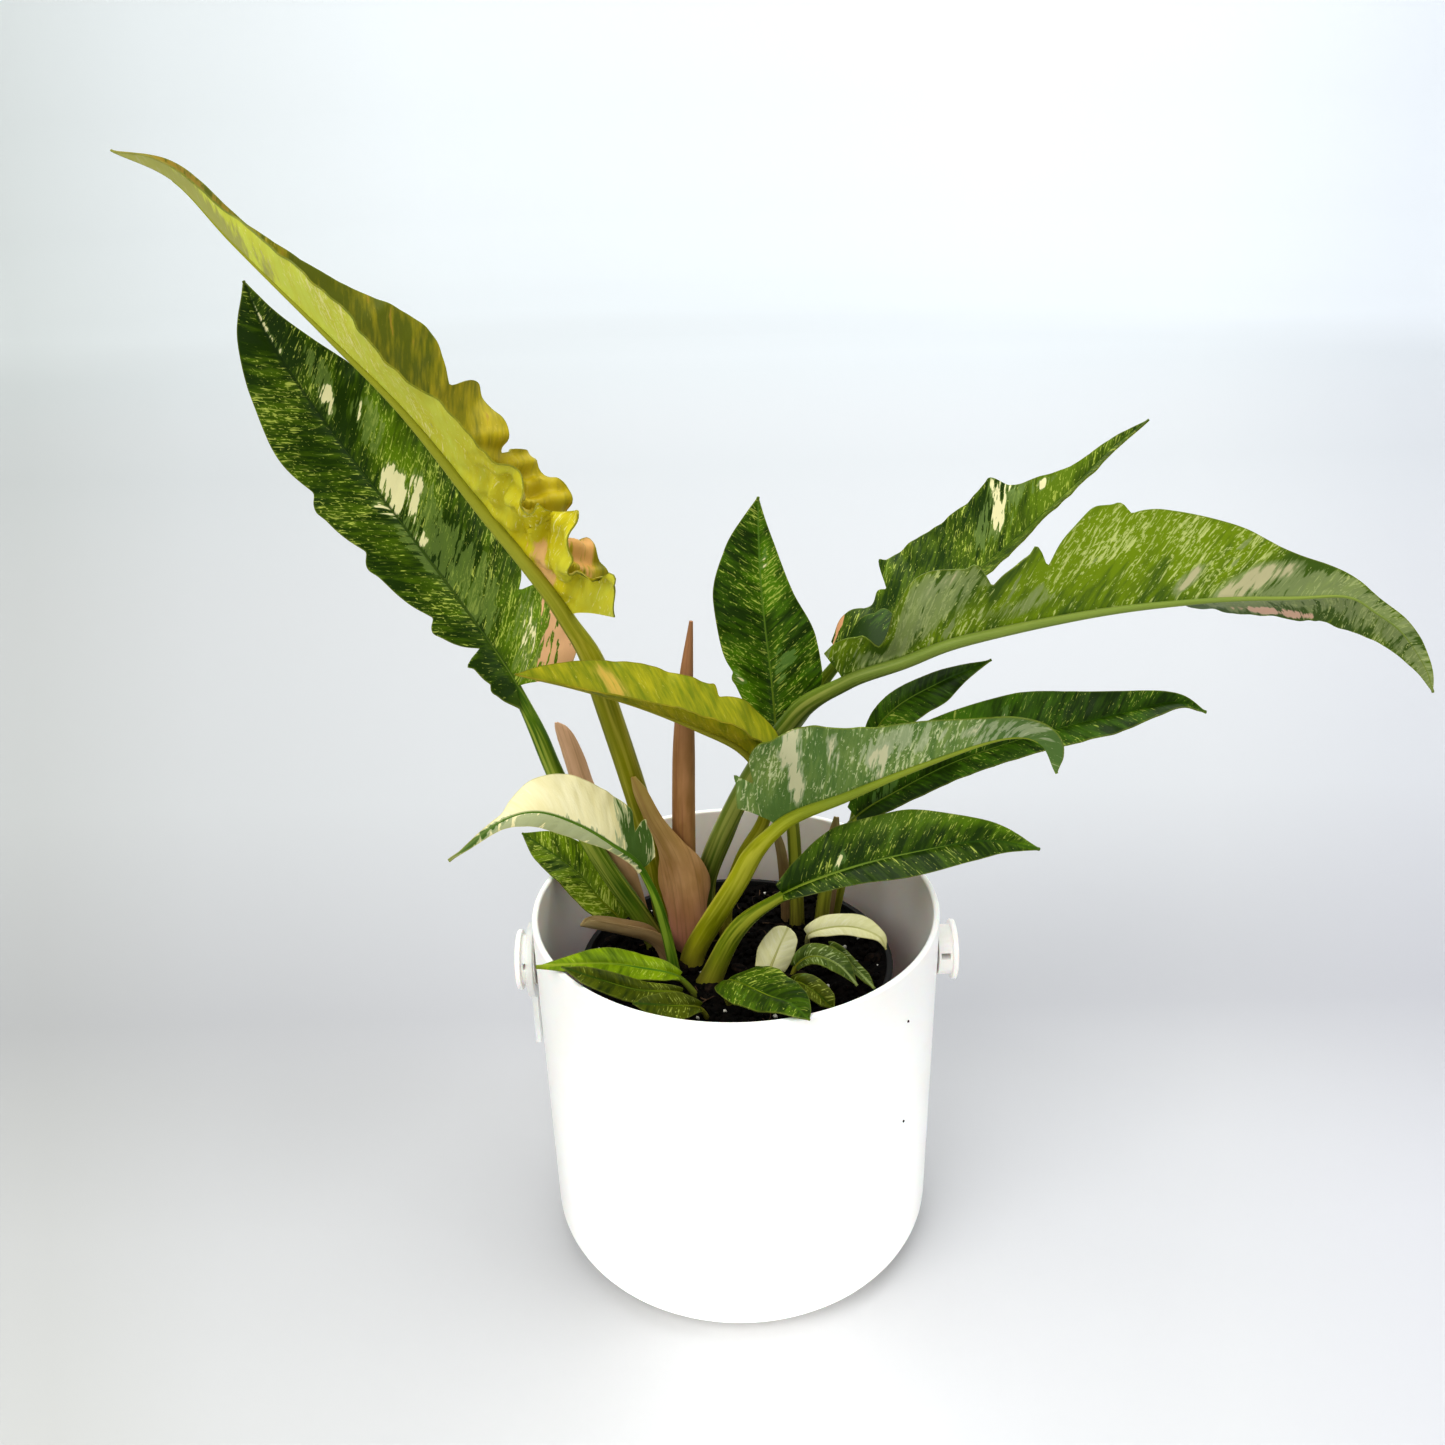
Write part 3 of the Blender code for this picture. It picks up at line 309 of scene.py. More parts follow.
# The backdrop glows with painted light: these tones go into its emission, not into a lamp.
PAINTED_GLOW_TONES = ((0.0, "000000"), (0.007, "2C2D2E"), (0.014, "4A4C4E"), (0.024, "56585A"), (0.045, "606263"),
              (0.1, "6E7072"), (0.18, "76787A"), (0.29, "7E8082"), (0.46, "888A8C"), (1.0, "9A9C9E"))
PAINTED_GLOW_SIDES = ((0.0, "A2A29F"), (0.12, "CACAC8"), (0.3, "F2F2F1"), (0.7, "FFFFFF"), (0.85, "F4F4F6"),
              (1.0, "DCDCDF"))
FAN_START = 0.7
FAN_REACH = 0.434

paper, tree, shader = new_material("white_paper_with_painted_light", 0.9, Emission_Strength=1.0)
place = add_node(tree, "TexCoord").outputs["Object"]
spot = add_node(tree, "SeparateXYZ", {0: place}).outputs


def toned(share, tones):
    """The colour at a share of the way through some tones."""
    ramp = add_node(tree, "ValToRGB", {0: share})
    while len(ramp.color_ramp.elements) < len(tones):
        ramp.color_ramp.elements.new(0.5)
    for stop, (at, tone) in zip(ramp.color_ramp.elements, tones):
        stop.position = at
        stop.color = colour(tone)
    return ramp


# The painted shade and the painted glow fall off sideways along lines that fan out from a point in front of
# the pot.
fan = maths(tree, "DIVIDE", spot["X"], maths(tree, "ADD", spot["Y"], FAN_START))
sideways = ranged(tree, fan, -FAN_REACH, FAN_REACH)
# Painted shade goes into the base colour, and the painted glow into the emission.
for axis, low, high, tones, sides, socket in (
        ("Y", -0.3, 2.3, PAPER_PAINTED_SHADE, PAPER_PAINTED_SIDE_SHADE, "Base Color"),
        ("Z", 0.0, 1.2, PAINTED_GLOW_TONES, PAINTED_GLOW_SIDES, "Emission Color")):
    ramp = toned(ranged(tree, spot[axis], low, high), tones)
    shaded = blend(tree, 1.0, ramp, toned(sideways, sides), blend_type="MULTIPLY")
    link(tree, shaded, shader, socket)
floor.data.materials.append(paper)

# %% Lamps and sky
LAMPS = (
    ("front_softbox", (-0.9, -1.3, 1.7), 0.15, 1.4, 26, "FFFFFF"),
    ("top_softbox", (0.2, 0.5, 2.0), 0.15, 1.8, 30, "FFFFFF"),
    ("right_fill", (1.6, -0.5, 1.0), 0.15, 1.2, 7.5, "F6F9FF"),
    ("low_card", (0.02, -0.45, 0.04), 0.01, 0.06, 0.1, "FFFFFF"),
)
for name, place, aim_height, size, watts, tint in LAMPS:
    bpy.ops.object.light_add(type="AREA", location=place)
    lamp = bpy.context.object
    lamp.name = name
    lamp.data.size = size
    lamp.data.energy = watts
    lamp.data.color = colour(tint)[:3]
    aim = Vector((0, 0, aim_height)) - Vector(place)
    lamp.rotation_euler = aim.to_track_quat("-Z", "Y").to_euler()
lamp.data.spread = math.radians(40)  # The low card lights only the pot's foot, not the leaves.
world = bpy.data.worlds.new("pale_sky")
world.use_nodes = True
sky = world.node_tree.nodes["Background"]
sky.inputs["Color"].default_value = colour("F4F7FA")
sky.inputs["Strength"].default_value = 0.75
bpy.context.scene.world = world
view = bpy.context.scene.view_settings
view.view_transform = "Standard"
view.gamma = 0.8  # A camera's picture has deeper shadows than the plain transform gives.

# %% [markdown]
# ## The white cover pot
#
# A cover pot like this is injection-moulded polypropylene: a straight tub with a big soft radius at
# the foot, a thin wall and a slightly broken rim. It could be a spun profile, but a cylinder is closer
# to how it is thought of: taper it, bevel its foot, take its lid off, and give it a wall.
# Polypropylene has a satin skin, so its highlights are broad, and light sinks a little way into it.

# %% Moulded white plastic
def moulded_plastic(name, base, grime, roughness, grain_mm):
    """Moulded polypropylene: satin, with the faint spark-eroded grain of its mould."""
    material, tree, shader = new_material(name, roughness, IOR=1.49, Subsurface_Weight=0.2,
                                          Subsurface_Scale=0.003)
    place = add_node(tree, "TexCoord").outputs["Object"]
    share = ranged(tree, object_noise(tree, place, 45, 3.0), 0.35, 0.75, high=0.6)
    grain = object_noise(tree, place, grain_mm, 2.0)
    give_surface(tree, shader, blend(tree, share, base, grime), grain, 0.25, 0.05)
    return material


white_plastic = moulded_plastic("white_polypropylene", "F8F6F2", "F0EDE6", 0.34, 0.9)

# %% Cover pot
POT_HEIGHT = 151.0
POT_TOP_RADIUS = 80.0
POT_FOOT_RADIUS = 78.0
FOOT_ROUND = 16.0
POT_WALL = 2.5
RIM_ROUND = 0.9

pot = cylinder("white_cover_pot", POT_TOP_RADIUS, POT_HEIGHT, 0, POT_HEIGHT / 2, sides=160, lying=False)
mode("EDIT")
pick(pot, "faces", lambda middle, normal: normal.z > 0.9)
bpy.ops.mesh.delete(type="FACE")
pick(pot, "faces", lambda middle, normal: normal.z < -0.9)
taper = POT_FOOT_RADIUS / POT_TOP_RADIUS
bpy.ops.transform.resize(value=(taper, taper, 1), center_override=(0, 0, 0))
pick(pot, "edges", lambda co, edge: co.z < 0.1 * MM)
bpy.ops.mesh.bevel(offset=FOOT_ROUND * MM, segments=10, affect="EDGES")
mode("OBJECT")
apply_modifier(pot, "SOLIDIFY", thickness=POT_WALL * MM, offset=-1, use_even_offset=True)
mode("EDIT")
pick(pot, "edges", lambda co, edge: co.z > (POT_HEIGHT - 0.1) * MM and edge.calc_face_angle(0) > 1)
bpy.ops.mesh.bevel(offset=RIM_ROUND * MM, segments=4, affect="EDGES")
mode("OBJECT")
hand_over(pot, ["cover_pot"], white_plastic, angle=50)

# %% [markdown]
# ## Strap pegs and the milky eyelet
#
# On each side a peg is pushed through the wall: a slit neck under a flat head, where a carrying strap
# is buttoned on. A turned shape like this is made by hand from one disc: its end face is extruded and
# scaled, step by step, through the profile. The slit is one box, subtracted. The second peg is a
# mirrored copy, so its faces are turned right side out again.

# %% Pegs
PEG_HEIGHT = 127.0
PEG_OUT = POT_FOOT_RADIUS + (PEG_HEIGHT - FOOT_ROUND) / (POT_HEIGHT - FOOT_ROUND) * 2.0
PEG_STANDOFF = 0.5
PEG_SHANK = POT_WALL + PEG_STANDOFF
PEG_SHANK_RADIUS = 6.0
PEG_NECK = 5.3
PEG_SLIT = (3.7, 30, 2.4)
PEG_SLIT_RISE = 2.6
PEG_PROFILE = (  # Each step out, and the new radius there.
    (0, 9.9), (PEG_NECK, 9.9), (0, 11.4), (0.15, 11.85), (0.25, 12), (1.2, 12), (0.3, 11.85),
    (0.25, 11.4), (0.2, 10.6), (0.3, 7.5), (0.2, 4), (0.1, 1),
)

shank_end = PEG_OUT + PEG_STANDOFF
peg = cylinder("strap_peg_on_right", PEG_SHANK_RADIUS, PEG_SHANK, shank_end - PEG_SHANK / 2, PEG_HEIGHT,
               sides=64)
mode("EDIT")
pick(peg, "faces", lambda middle, normal: normal.x > 0.9)
reach, radius = shank_end, PEG_SHANK_RADIUS
for advance, new_radius in PEG_PROFILE:
    bpy.ops.mesh.extrude_region_move(TRANSFORM_OT_translate={"value": (advance * MM, 0, 0)})
    reach += advance
    ratio = new_radius / radius
    bpy.ops.transform.resize(value=(1, ratio, ratio), center_override=(reach * MM, 0, PEG_HEIGHT * MM))
    radius = new_radius
mode("OBJECT")
slit = box("peg_slit", PEG_SLIT, shank_end + PEG_NECK / 2, PEG_HEIGHT + PEG_SLIT_RISE)
combine(peg, slit, "DIFFERENCE")
break_edges(peg, 0.25, 2)
hand_over(peg, ["strap_peg_right"], white_plastic)

twin = peg.copy()
twin.data = peg.data.copy()
twin.name = twin.data.name = "strap_peg_on_left"
bpy.context.collection.objects.link(twin)
twin.data.transform(Matrix.Scale(-1, 4, (1, 0, 0)))
work_on(twin)
mode("EDIT")
turn_faces_out()
mode("OBJECT")
del twin["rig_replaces"]
hand_over(twin, ["strap_peg_left"])

# %% Milky eyelet
EYELET_RADIUS = 15.0
EYELET_HOLE_RADIUS = 10.4
EYELET_THICK = 2.5
EYELET_SEAT = 2.0
STRAP_WIDTH = 10.0
STRAP_THICK = 2.2
STRAP_TAIL = 25.0
STRAP_OVERLAP = 2.8
CUTTER_LENGTH = 20

# Soft milky PVC: light enters it and scatters, and half of it passes through, so it shows pale and its
# shadow is light.
milky_vinyl, tree, shader = new_material("milky_soft_pvc", 0.3, IOR=1.53, Subsurface_Weight=0.15,
                                         Subsurface_Scale=0.004, Alpha=0.5)
place = add_node(tree, "TexCoord").outputs["Object"]
haze = object_noise(tree, place, 6, 2.0)
give_surface(tree, shader, blend(tree, haze, "F6F6F2", "E8E8E2"), haze, 0.2, 0.2)

eyelet_x = -(PEG_OUT + EYELET_SEAT)
tail_z = PEG_HEIGHT - EYELET_RADIUS - STRAP_TAIL / 2 + STRAP_OVERLAP
eyelet = cylinder("milky_strap_eyelet", EYELET_RADIUS, EYELET_THICK, eyelet_x, PEG_HEIGHT)
tail = box("tail", (STRAP_THICK, STRAP_WIDTH, STRAP_TAIL), eyelet_x, tail_z)
hole = cylinder("hole", EYELET_HOLE_RADIUS, CUTTER_LENGTH, eyelet_x, PEG_HEIGHT)
combine(eyelet, tail, "UNION")
combine(eyelet, hole, "DIFFERENCE")
break_edges(eyelet, 0.5, 3)
hand_over(eyelet, ["strap_eyelet"], milky_vinyl)

# %% [markdown]
# ## The black nursery pot
#
# Growers sell plants in thin thermoformed pots, black so that roots see no light. Only the rim shows
# here. A cone is opened and given a wall, the band under its rim is cut off with a bisect, and pushed
# out along its normals, which gives the rolled lip.

# %% Nursery pot
NURSERY_TOP = 125.0
NURSERY_TOP_RADIUS = 61.5
NURSERY_FOOT_RADIUS = 48.0
NURSERY_FOOT = 3.3
NURSERY_WALL = 1.4
NURSERY_LIP = 1.0
NURSERY_LIP_DROP = 5.0

black_plastic = moulded_plastic("black_polypropylene", "040404", "0A0908", 0.6, 1.6)
nursery_height = NURSERY_TOP - NURSERY_FOOT
lip_foot = (NURSERY_TOP - NURSERY_LIP_DROP) * MM
deselect()
bpy.ops.mesh.primitive_cone_add(vertices=96, radius1=NURSERY_FOOT_RADIUS * MM,
                                radius2=NURSERY_TOP_RADIUS * MM, depth=nursery_height * MM,
                                location=(0, 0, (NURSERY_FOOT + nursery_height / 2) * MM))
nursery = named("black_nursery_pot")
mode("EDIT")
pick(nursery, "faces", lambda middle, normal: normal.z > 0.9)
bpy.ops.mesh.delete(type="FACE")
mode("OBJECT")
apply_modifier(nursery, "SOLIDIFY", thickness=NURSERY_WALL * MM, offset=-1)
mode("EDIT")
bpy.ops.mesh.select_all(action="SELECT")
bpy.ops.mesh.bisect(plane_co=(0, 0, lip_foot), plane_no=(0, 0, 1))
pick(nursery, "faces", lambda middle, normal: middle.z > lip_foot
     and abs(normal.z) < 0.5 and normal.dot(Vector((middle.x, middle.y, 0))) > 0)
bpy.ops.mesh.extrude_region_shrink_fatten(TRANSFORM_OT_shrink_fatten={"value": NURSERY_LIP * MM})
mode("OBJECT")
break_edges(nursery, 0.3, 2)
hand_over(nursery, ["nursery_pot"], black_plastic)

# %% [markdown]
# ## Potting soil
#
# Potting mix is peat and bark crumbs, nearly black when damp, with white puffed perlite and hair-thin
# roots. The CAD root ball keeps its own shape and gets the soil's material. Over it lies a rough skin,
# a disc pushed up and down by noise, and on that a few hundred loose crumbs. Each kind of crumb is
# modelled once as a lump, and its copies are turned and sized with a seeded random generator.

# %% Soil materials
def crumbly(name, dark, light, grain_mm, roughness):
    """A matt, crumbly matter: two tones in coarse and fine grains."""
    material, tree, shader = new_material(name, roughness, Specular_IOR_Level=0.15)
    place = add_node(tree, "TexCoord").outputs["Object"]
    share = ranged(tree, object_noise(tree, place, grain_mm, 4.0), 0.4, 0.68)
    fine = object_noise(tree, place, grain_mm / 2.5, 3.0)
    give_surface(tree, shader, blend(tree, share, dark, light), fine, 0.8, 0.15 * grain_mm)
    return material


damp_soil = crumbly("damp_peat_and_bark", "040302", "150E09", 3.0, 0.95)
perlite_white = crumbly("puffed_perlite", "CFCBC0", "F3F0E8", 1.5, 0.9)
bark_brown = crumbly("bark_chips", "140D08", "33241A", 2.0, 0.85)
root_brown = crumbly("fine_roots", "1E140C", "6E5640", 6.0, 0.7)

# %% Soil surface
SOIL_RADIUS = 60.0
SOIL_TOP = 121.5
SKIN_THICK = 2.2
SKIN_LIFT = 1.6
SKIN_CELLS = 130
dice = np.random.default_rng(7)

root_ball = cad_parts["soil"]
root_ball.data.materials.clear()
root_ball.data.materials.append(damp_soil)


def soil_height(x, y):
    """The rough top of the soil, in mm: broad swells, then lumps, then crumbs."""
    swell = 0.6 * (np.sin(x / 9) * np.cos(y / 11) + np.sin((x + y) / 15))
    lumps = 0.7 * np.sin(x / 3.1 + 1.3 * np.sin(y / 4.3)) * np.cos(y / 2.7 + np.sin(x / 5.1))
    crumbs = 0.35 * np.sin(x * 1.3 + 2 * np.sin(y / 1.9)) * np.cos(y * 1.1 + 2 * np.sin(x / 2.3))
    return SOIL_TOP + SKIN_LIFT + swell + lumps + crumbs


deselect()
bpy.ops.mesh.primitive_grid_add(x_subdivisions=SKIN_CELLS, y_subdivisions=SKIN_CELLS, size=2)
skin = named("soil_surface")
flat = np.array([vertex.co[:2] for vertex in skin.data.vertices])
disc_x = flat[:, 0] * np.sqrt(1 - flat[:, 1] ** 2 / 2) * (SOIL_RADIUS - 0.1)
disc_y = flat[:, 1] * np.sqrt(1 - flat[:, 0] ** 2 / 2) * (SOIL_RADIUS - 0.1)
skin.data.vertices.foreach_set("co", (np.stack(
    [disc_x, disc_y, soil_height(disc_x, disc_y)], axis=1) * MM).ravel())
apply_modifier(skin, "SOLIDIFY", thickness=SKIN_THICK * MM, offset=-1)
hand_over(skin, material=damp_soil, angle=80)

# %% Crumbs, perlite and bark
CRUMB_REACH = 57.0
CRUMB_SINK = 0.25
CLINGING = ((62.6, -49.2, 128.4), (62.2, -48.6, 81.3))


def lump(name, detail):
    """One rough lump, 1 mm in radius, to be copied."""
    deselect()
    bpy.ops.mesh.primitive_ico_sphere_add(subdivisions=detail, radius=MM)
    piece = named(name)
    for vertex in piece.data.vertices:
        vertex.co *= dice.uniform(0.72, 1.2)
    return piece


def scattered(name, count, sizes, flatness, material):
    """Copies of one lump, joined in one piece that lies on the soil."""
    master = lump(name, 2)
    points = np.array([vertex.co[:] for vertex in master.data.vertices])
    faces = np.array([polygon.vertices[:] for polygon in master.data.polygons])
    all_points, all_faces = [], []
    for number in range(count):
        size = dice.uniform(*sizes)
        turn = np.array(Matrix.Rotation(dice.uniform(0, 6.28), 3, "Z")
                        @ Matrix.Rotation(dice.uniform(-0.5, 0.5), 3, "X"))
        shape = points * np.array([1, dice.uniform(0.6, 1), flatness * dice.uniform(0.7, 1.2)]) * size
        angle, distance = dice.uniform(0, 2 * math.pi), CRUMB_REACH * math.sqrt(dice.uniform(0, 1))
        x, y = distance * math.cos(angle), distance * math.sin(angle)
        z = soil_height(x, y) + size * flatness * (1 - CRUMB_SINK)
        all_points.append(shape @ turn.T + np.array([x, y, z]) * MM)
        all_faces.append(faces + number * len(points))
    mesh = bpy.data.meshes.new(name)
    mesh.from_pydata(np.vstack(all_points).tolist(), [], np.vstack(all_faces).tolist())
    master.data = mesh
    hand_over(master, material=material, angle=60)


scattered("soil_crumbs", 1100, (0.5, 2.2), 0.8, damp_soil)
scattered("perlite_grains", 60, (0.35, 1.1), 0.8, perlite_white)
scattered("bark_pieces", 45, (1.5, 4.0), 0.35, bark_brown)

for x, y, z in CLINGING:  # Two crumbs cling to the pot's wall.
    speck = lump("clinging_crumb", 1)
    speck.data.transform(Matrix.Translation((x * MM, y * MM, z * MM)) @ Matrix.Scale(0.7, 4))
    hand_over(speck, material=bark_brown)

# %% [markdown]
# ## How a leaf is described
#
# A leaf could be sculpted, but it's quicker and truer to say what a botanist would: the route of its
# midrib through space, where its upper face looks, how wide each half is along its length, how far each
# half is folded up, and where the lobes are cut. A smooth curve through the route gives a frame of three
# directions at every point, and the blade's points are laid out in it. The CAD part has the
# same leaves with few faces. Here they get many, so that there is room for waves, veins and a groove.

# %% Curves through given points
RULER_STEP = 1.0
CURVE_STEPS = 24
FRAME_REACH = 0.02
TIP_HALF_WIDTH = 0.35


def along_lengths(points):
    return np.concatenate([[0], np.cumsum(np.linalg.norm(np.diff(points, axis=0), axis=1))])


def sample(points, run, places):
    return np.stack([np.interp(places, run, points[:, k]) for k in range(3)], axis=1)


def smooth_route(points, step):
    """Points every step or so on a smooth curve through the given ones."""
    given = np.array(points, float)
    ends = np.vstack([2 * given[0] - given[1], given, 2 * given[-1] - given[-2]])
    fine = []
    for i in range(len(given) - 1):
        a, b, c, d = ends[i:i + 4]
        for t in np.linspace(0, 1, CURVE_STEPS, endpoint=False):
            fine.append((2 * b + (c - a) * t + (2 * a - 5 * b + 4 * c - d) * t ** 2
                         + (3 * b - a - 3 * c + d) * t ** 3) / 2)
    fine = np.array(fine + [given[-1]])
    run = along_lengths(fine)
    count = max(2, round(run[-1] / step) + 1)
    return sample(fine, run, np.linspace(0, run[-1], count))


def curve_through(pairs, places):
    """A smooth curve through (place, value) pairs that never swings past them."""
    x, y = np.array(list(pairs), float).T
    slope = np.diff(y) / np.diff(x)
    before, after = slope[:-1], slope[1:]
    same = before * after > 0
    middle = np.where(same, 2 * before * after / np.where(same, before + after, 1), 0)
    tangent = np.concatenate([[slope[0]], middle, [slope[-1]]])
    i = np.clip(np.searchsorted(x, places) - 1, 0, len(x) - 2)
    width = x[i + 1] - x[i]
    t = (places - x[i]) / width
    return ((2 * t ** 3 - 3 * t ** 2 + 1) * y[i] + (t ** 3 - 2 * t ** 2 + t) * width * tangent[i]
            + (3 * t ** 2 - 2 * t ** 3) * y[i + 1] + (t ** 3 - t ** 2) * width * tangent[i + 1])


def spread(values, places):
    """Evenly spaced values read at shares of the blade's length."""
    values = np.array(values, float)
    if values.ndim == 0:
        return np.full(len(places), float(values))
    at = np.linspace(0, 1, len(values))
    if values.ndim == 1:
        return np.interp(places, at, values)
    return np.stack([np.interp(places, at, values[:, k]) for k in range(3)], axis=1)


# %% The blade's width and frame
def half_width(half, places):
    """The half's width, with a steep step and a small tooth at each notch."""
    width = curve_through(half["edge"].items(), places)
    share = np.ones(len(places))
    for at, depth, length in half["notches"]:
        size = abs(length)
        away = (places - at) * math.copysign(1, length)
        steep = np.exp(-(away / (0.3 * size)) ** 2)
        gentle = np.exp(-(np.abs(away) / size) ** 1.3)
        share -= depth * np.where(away < 0, steep, gentle)
        share += 0.25 * depth * np.exp(-((away + 0.75 * size) / (0.3 * size)) ** 2)
    return np.maximum(width * np.clip(share, 0.12, 1.5), TIP_HALF_WIDTH)


def measured_route(leaf):
    """The route in fine steps, the length up to each step, and the length at which the blade starts."""
    fine = smooth_route(leaf["route"], RULER_STEP)
    run = along_lengths(fine)
    joint = np.array(leaf["route"][leaf.get("stalk", 0)], float)
    return fine, run, run[np.argmin(np.linalg.norm(fine - joint, axis=1))]


def blade_frame(leaf, places):
    """The midrib's points, and the way along, across and up from it, at each place."""
    fine, run, start = measured_route(leaf)
    middle = sample(fine, run, start + places * (run[-1] - start))
    ahead = sample(fine, run, start + np.minimum(places + FRAME_REACH, 1) * (run[-1] - start))
    behind = sample(fine, run, start + np.maximum(places - FRAME_REACH, 0) * (run[-1] - start))
    along = ahead - behind
    along /= np.linalg.norm(along, axis=1)[:, None]
    across = np.cross(along, spread(np.atleast_2d(leaf["facing"]), places))
    across /= np.linalg.norm(across, axis=1)[:, None]
    return middle, along, across, np.cross(across, along), run[-1] - start


# %% [markdown]
# ## Laying out a blade
#
# The plain surface comes first: out from the midrib by the half's width, turned up by its fold and
# curved by its arch. Then comes what makes a leaf look alive, all of it along the surface's normal:
# a groove over the midrib, side veins that run forward to the edge with the blade puffed between them,
# a slow swell, and small waves that grow towards the margin.

# %% The blade's surface
VEIN_SLANT = 0.75
GROOVE_DEPTH = 0.55
GROOVE_WIDTH = 1.2
MARGIN_WAVES = ((19, 0.8), (11, 0.45), (6.5, 0.25))  # length and height in mm
PLAIN_HALF = dict(arch=0, lobe=0, notches=(), ruffle=(0, 0, 0, 0, 1))


def blade_points(leaf, places, rows):
    """The plain surface, from the right edge to the left one, with lengths measured on it."""
    middle, along, across, up, length = blade_frame(leaf, places)
    points = np.zeros((len(places), 2 * rows + 1, 3))
    out_mm = np.zeros((len(places), 2 * rows + 1))
    rim_mm = np.zeros((len(places), 2 * rows + 1))
    for sign, key in ((1, "right"), (-1, "left")):
        half = {**PLAIN_HALF, **leaf.get("both", {}), **leaf.get(key, {})}
        width = half_width(half, places)
        fold = np.radians(spread(half["fold"], places))
        arch = np.radians(spread(half["arch"], places))
        arch = np.where(np.abs(arch) < 0.001, 0.001, arch)
        height, waves, phase, first, last = half["ruffle"]
        swell = np.clip((places - first) / 0.08, 0, 1) * np.clip((last - places) / 0.12, 0, 1)
        for row in range(rows + 1):
            share = row / rows
            angle = fold + arch * share
            wave = height * swell * share ** 1.6 * np.sin(2 * math.pi * waves * places + phase)
            out = width * (np.sin(angle) - np.sin(fold)) / arch - np.sin(angle) * wave
            rise = width * (np.cos(fold) - np.cos(angle)) / arch + np.cos(angle) * wave
            back = half["lobe"] * share ** 1.5 * np.exp(-places / 0.06)
            column = rows - sign * row
            points[:, column] = (middle + sign * across * out[:, None] + up * rise[:, None]
                                 - along * back[:, None])
            out_mm[:, column] = -sign * width * share
            rim_mm[:, column] = width * (1 - share)
    return points, out_mm, rim_mm, length


def surface_normals(points):
    down = np.gradient(points, axis=0)
    over = np.gradient(points, axis=1)
    normals = np.cross(down, over)
    return normals / np.maximum(np.linalg.norm(normals, axis=2), 1e-9)[:, :, None]


def relief(look, places, out_mm, length, seed):
    """How far the finished face stands off the plain one, in mm."""
    chance = np.random.default_rng(seed)
    along_mm = np.repeat((places * length)[:, None], out_mm.shape[1], axis=1)
    from_rib = np.abs(out_mm)
    widest = from_rib.max(axis=1)[:, None] + 0.01
    share = from_rib / widest
    taper = np.sqrt(np.clip(1 - places, 0, 1))[:, None]
    groove = -GROOVE_DEPTH * np.exp(-(out_mm / GROOVE_WIDTH) ** 2) * taper
    spacing = float(np.clip(length / 15, 4.0, 11.0))
    side = np.where(out_mm < 0, 0.5, 0.0)
    vein = np.abs(np.sin(math.pi * ((along_mm - VEIN_SLANT * from_rib) / spacing + side)))
    body = np.clip(from_rib / 4, 0, 1) * np.clip((1 - share) / 0.25, 0, 1)
    quilt = (0.02 * spacing + 0.05) * (vein ** 0.6 - 0.7) * body
    swell = np.zeros_like(out_mm)
    for _ in range(4):
        a, b, phase = chance.uniform(0.05, 0.16), chance.uniform(-0.12, 0.12), chance.uniform(0, 6.28)
        swell += np.sin(a * along_mm + b * out_mm + phase)
    swell *= look.get("swell", 0.35) * share
    margin = np.zeros_like(out_mm)
    for wave_mm, height in MARGIN_WAVES:
        shift = chance.uniform(0, 6.28)
        margin += height * np.sin(2 * math.pi * along_mm / wave_mm + shift + 1.7 * np.sign(out_mm))
    margin *= look.get("margin", 0.8) * share ** 3 * np.clip(widest / 12, 0, 1) * taper
    crinkle, first, last = look.get("crinkle", (0, 0, 1))
    if crinkle:
        reach = (np.clip((places - first) / 0.05, 0, 1) * np.clip((last - places) / 0.1, 0, 1))[:, None]
        folds = (np.sin(along_mm / 2.6 + 1.5 * np.sin(out_mm / 4)) * np.sin(out_mm / 3.4 + 0.9)
                 + 0.5 * np.sin(along_mm / 1.5 - out_mm / 2.1))
        swell += crinkle * folds * reach * np.clip(from_rib / 5, 0, 1)
    return groove + quilt + swell + margin, along_mm


# %% [markdown]
# ## From numbers to a mesh
#
# A grid primitive has the right topology for a blade, so it is added with the wanted number of rows,
# and each of its points is moved to its place on the surface. Solidify then gives it the thickness of a
# real leaf, 0.6 mm, and puts its underside in a material slot of its own.
# A stem is the same grid rolled up: its long seam is merged, and its two ends are filled.
# Each point also keeps where it is on the leaf, in millimetres, for the materials to read.

# %% Grids that follow a surface
BLADE_THICK = 0.6


def laid_grid(name, points, places_mm, paint=None, blush=None):
    """A grid primitive with its points laid out, and what the materials read kept on it."""
    rows, columns = points.shape[:2]
    deselect()
    bpy.ops.mesh.primitive_grid_add(x_subdivisions=rows - 1, y_subdivisions=columns - 1, size=2)
    piece = named(name)
    flat = np.array([vertex.co[:2] for vertex in piece.data.vertices])
    i = np.round((flat[:, 0] + 1) / 2 * (rows - 1)).astype(int)
    j = np.round((flat[:, 1] + 1) / 2 * (columns - 1)).astype(int)
    piece.data.vertices.foreach_set("co", (points[i, j] * MM).ravel())
    for label, values in (("place_mm", places_mm), ("paint", paint), ("blush", blush)):
        if values is not None:
            layer = piece.data.attributes.new(label, "FLOAT_VECTOR", "POINT")
            layer.data.foreach_set("vector", values[i, j].astype(np.float32).ravel())
    piece.data.update()
    return piece


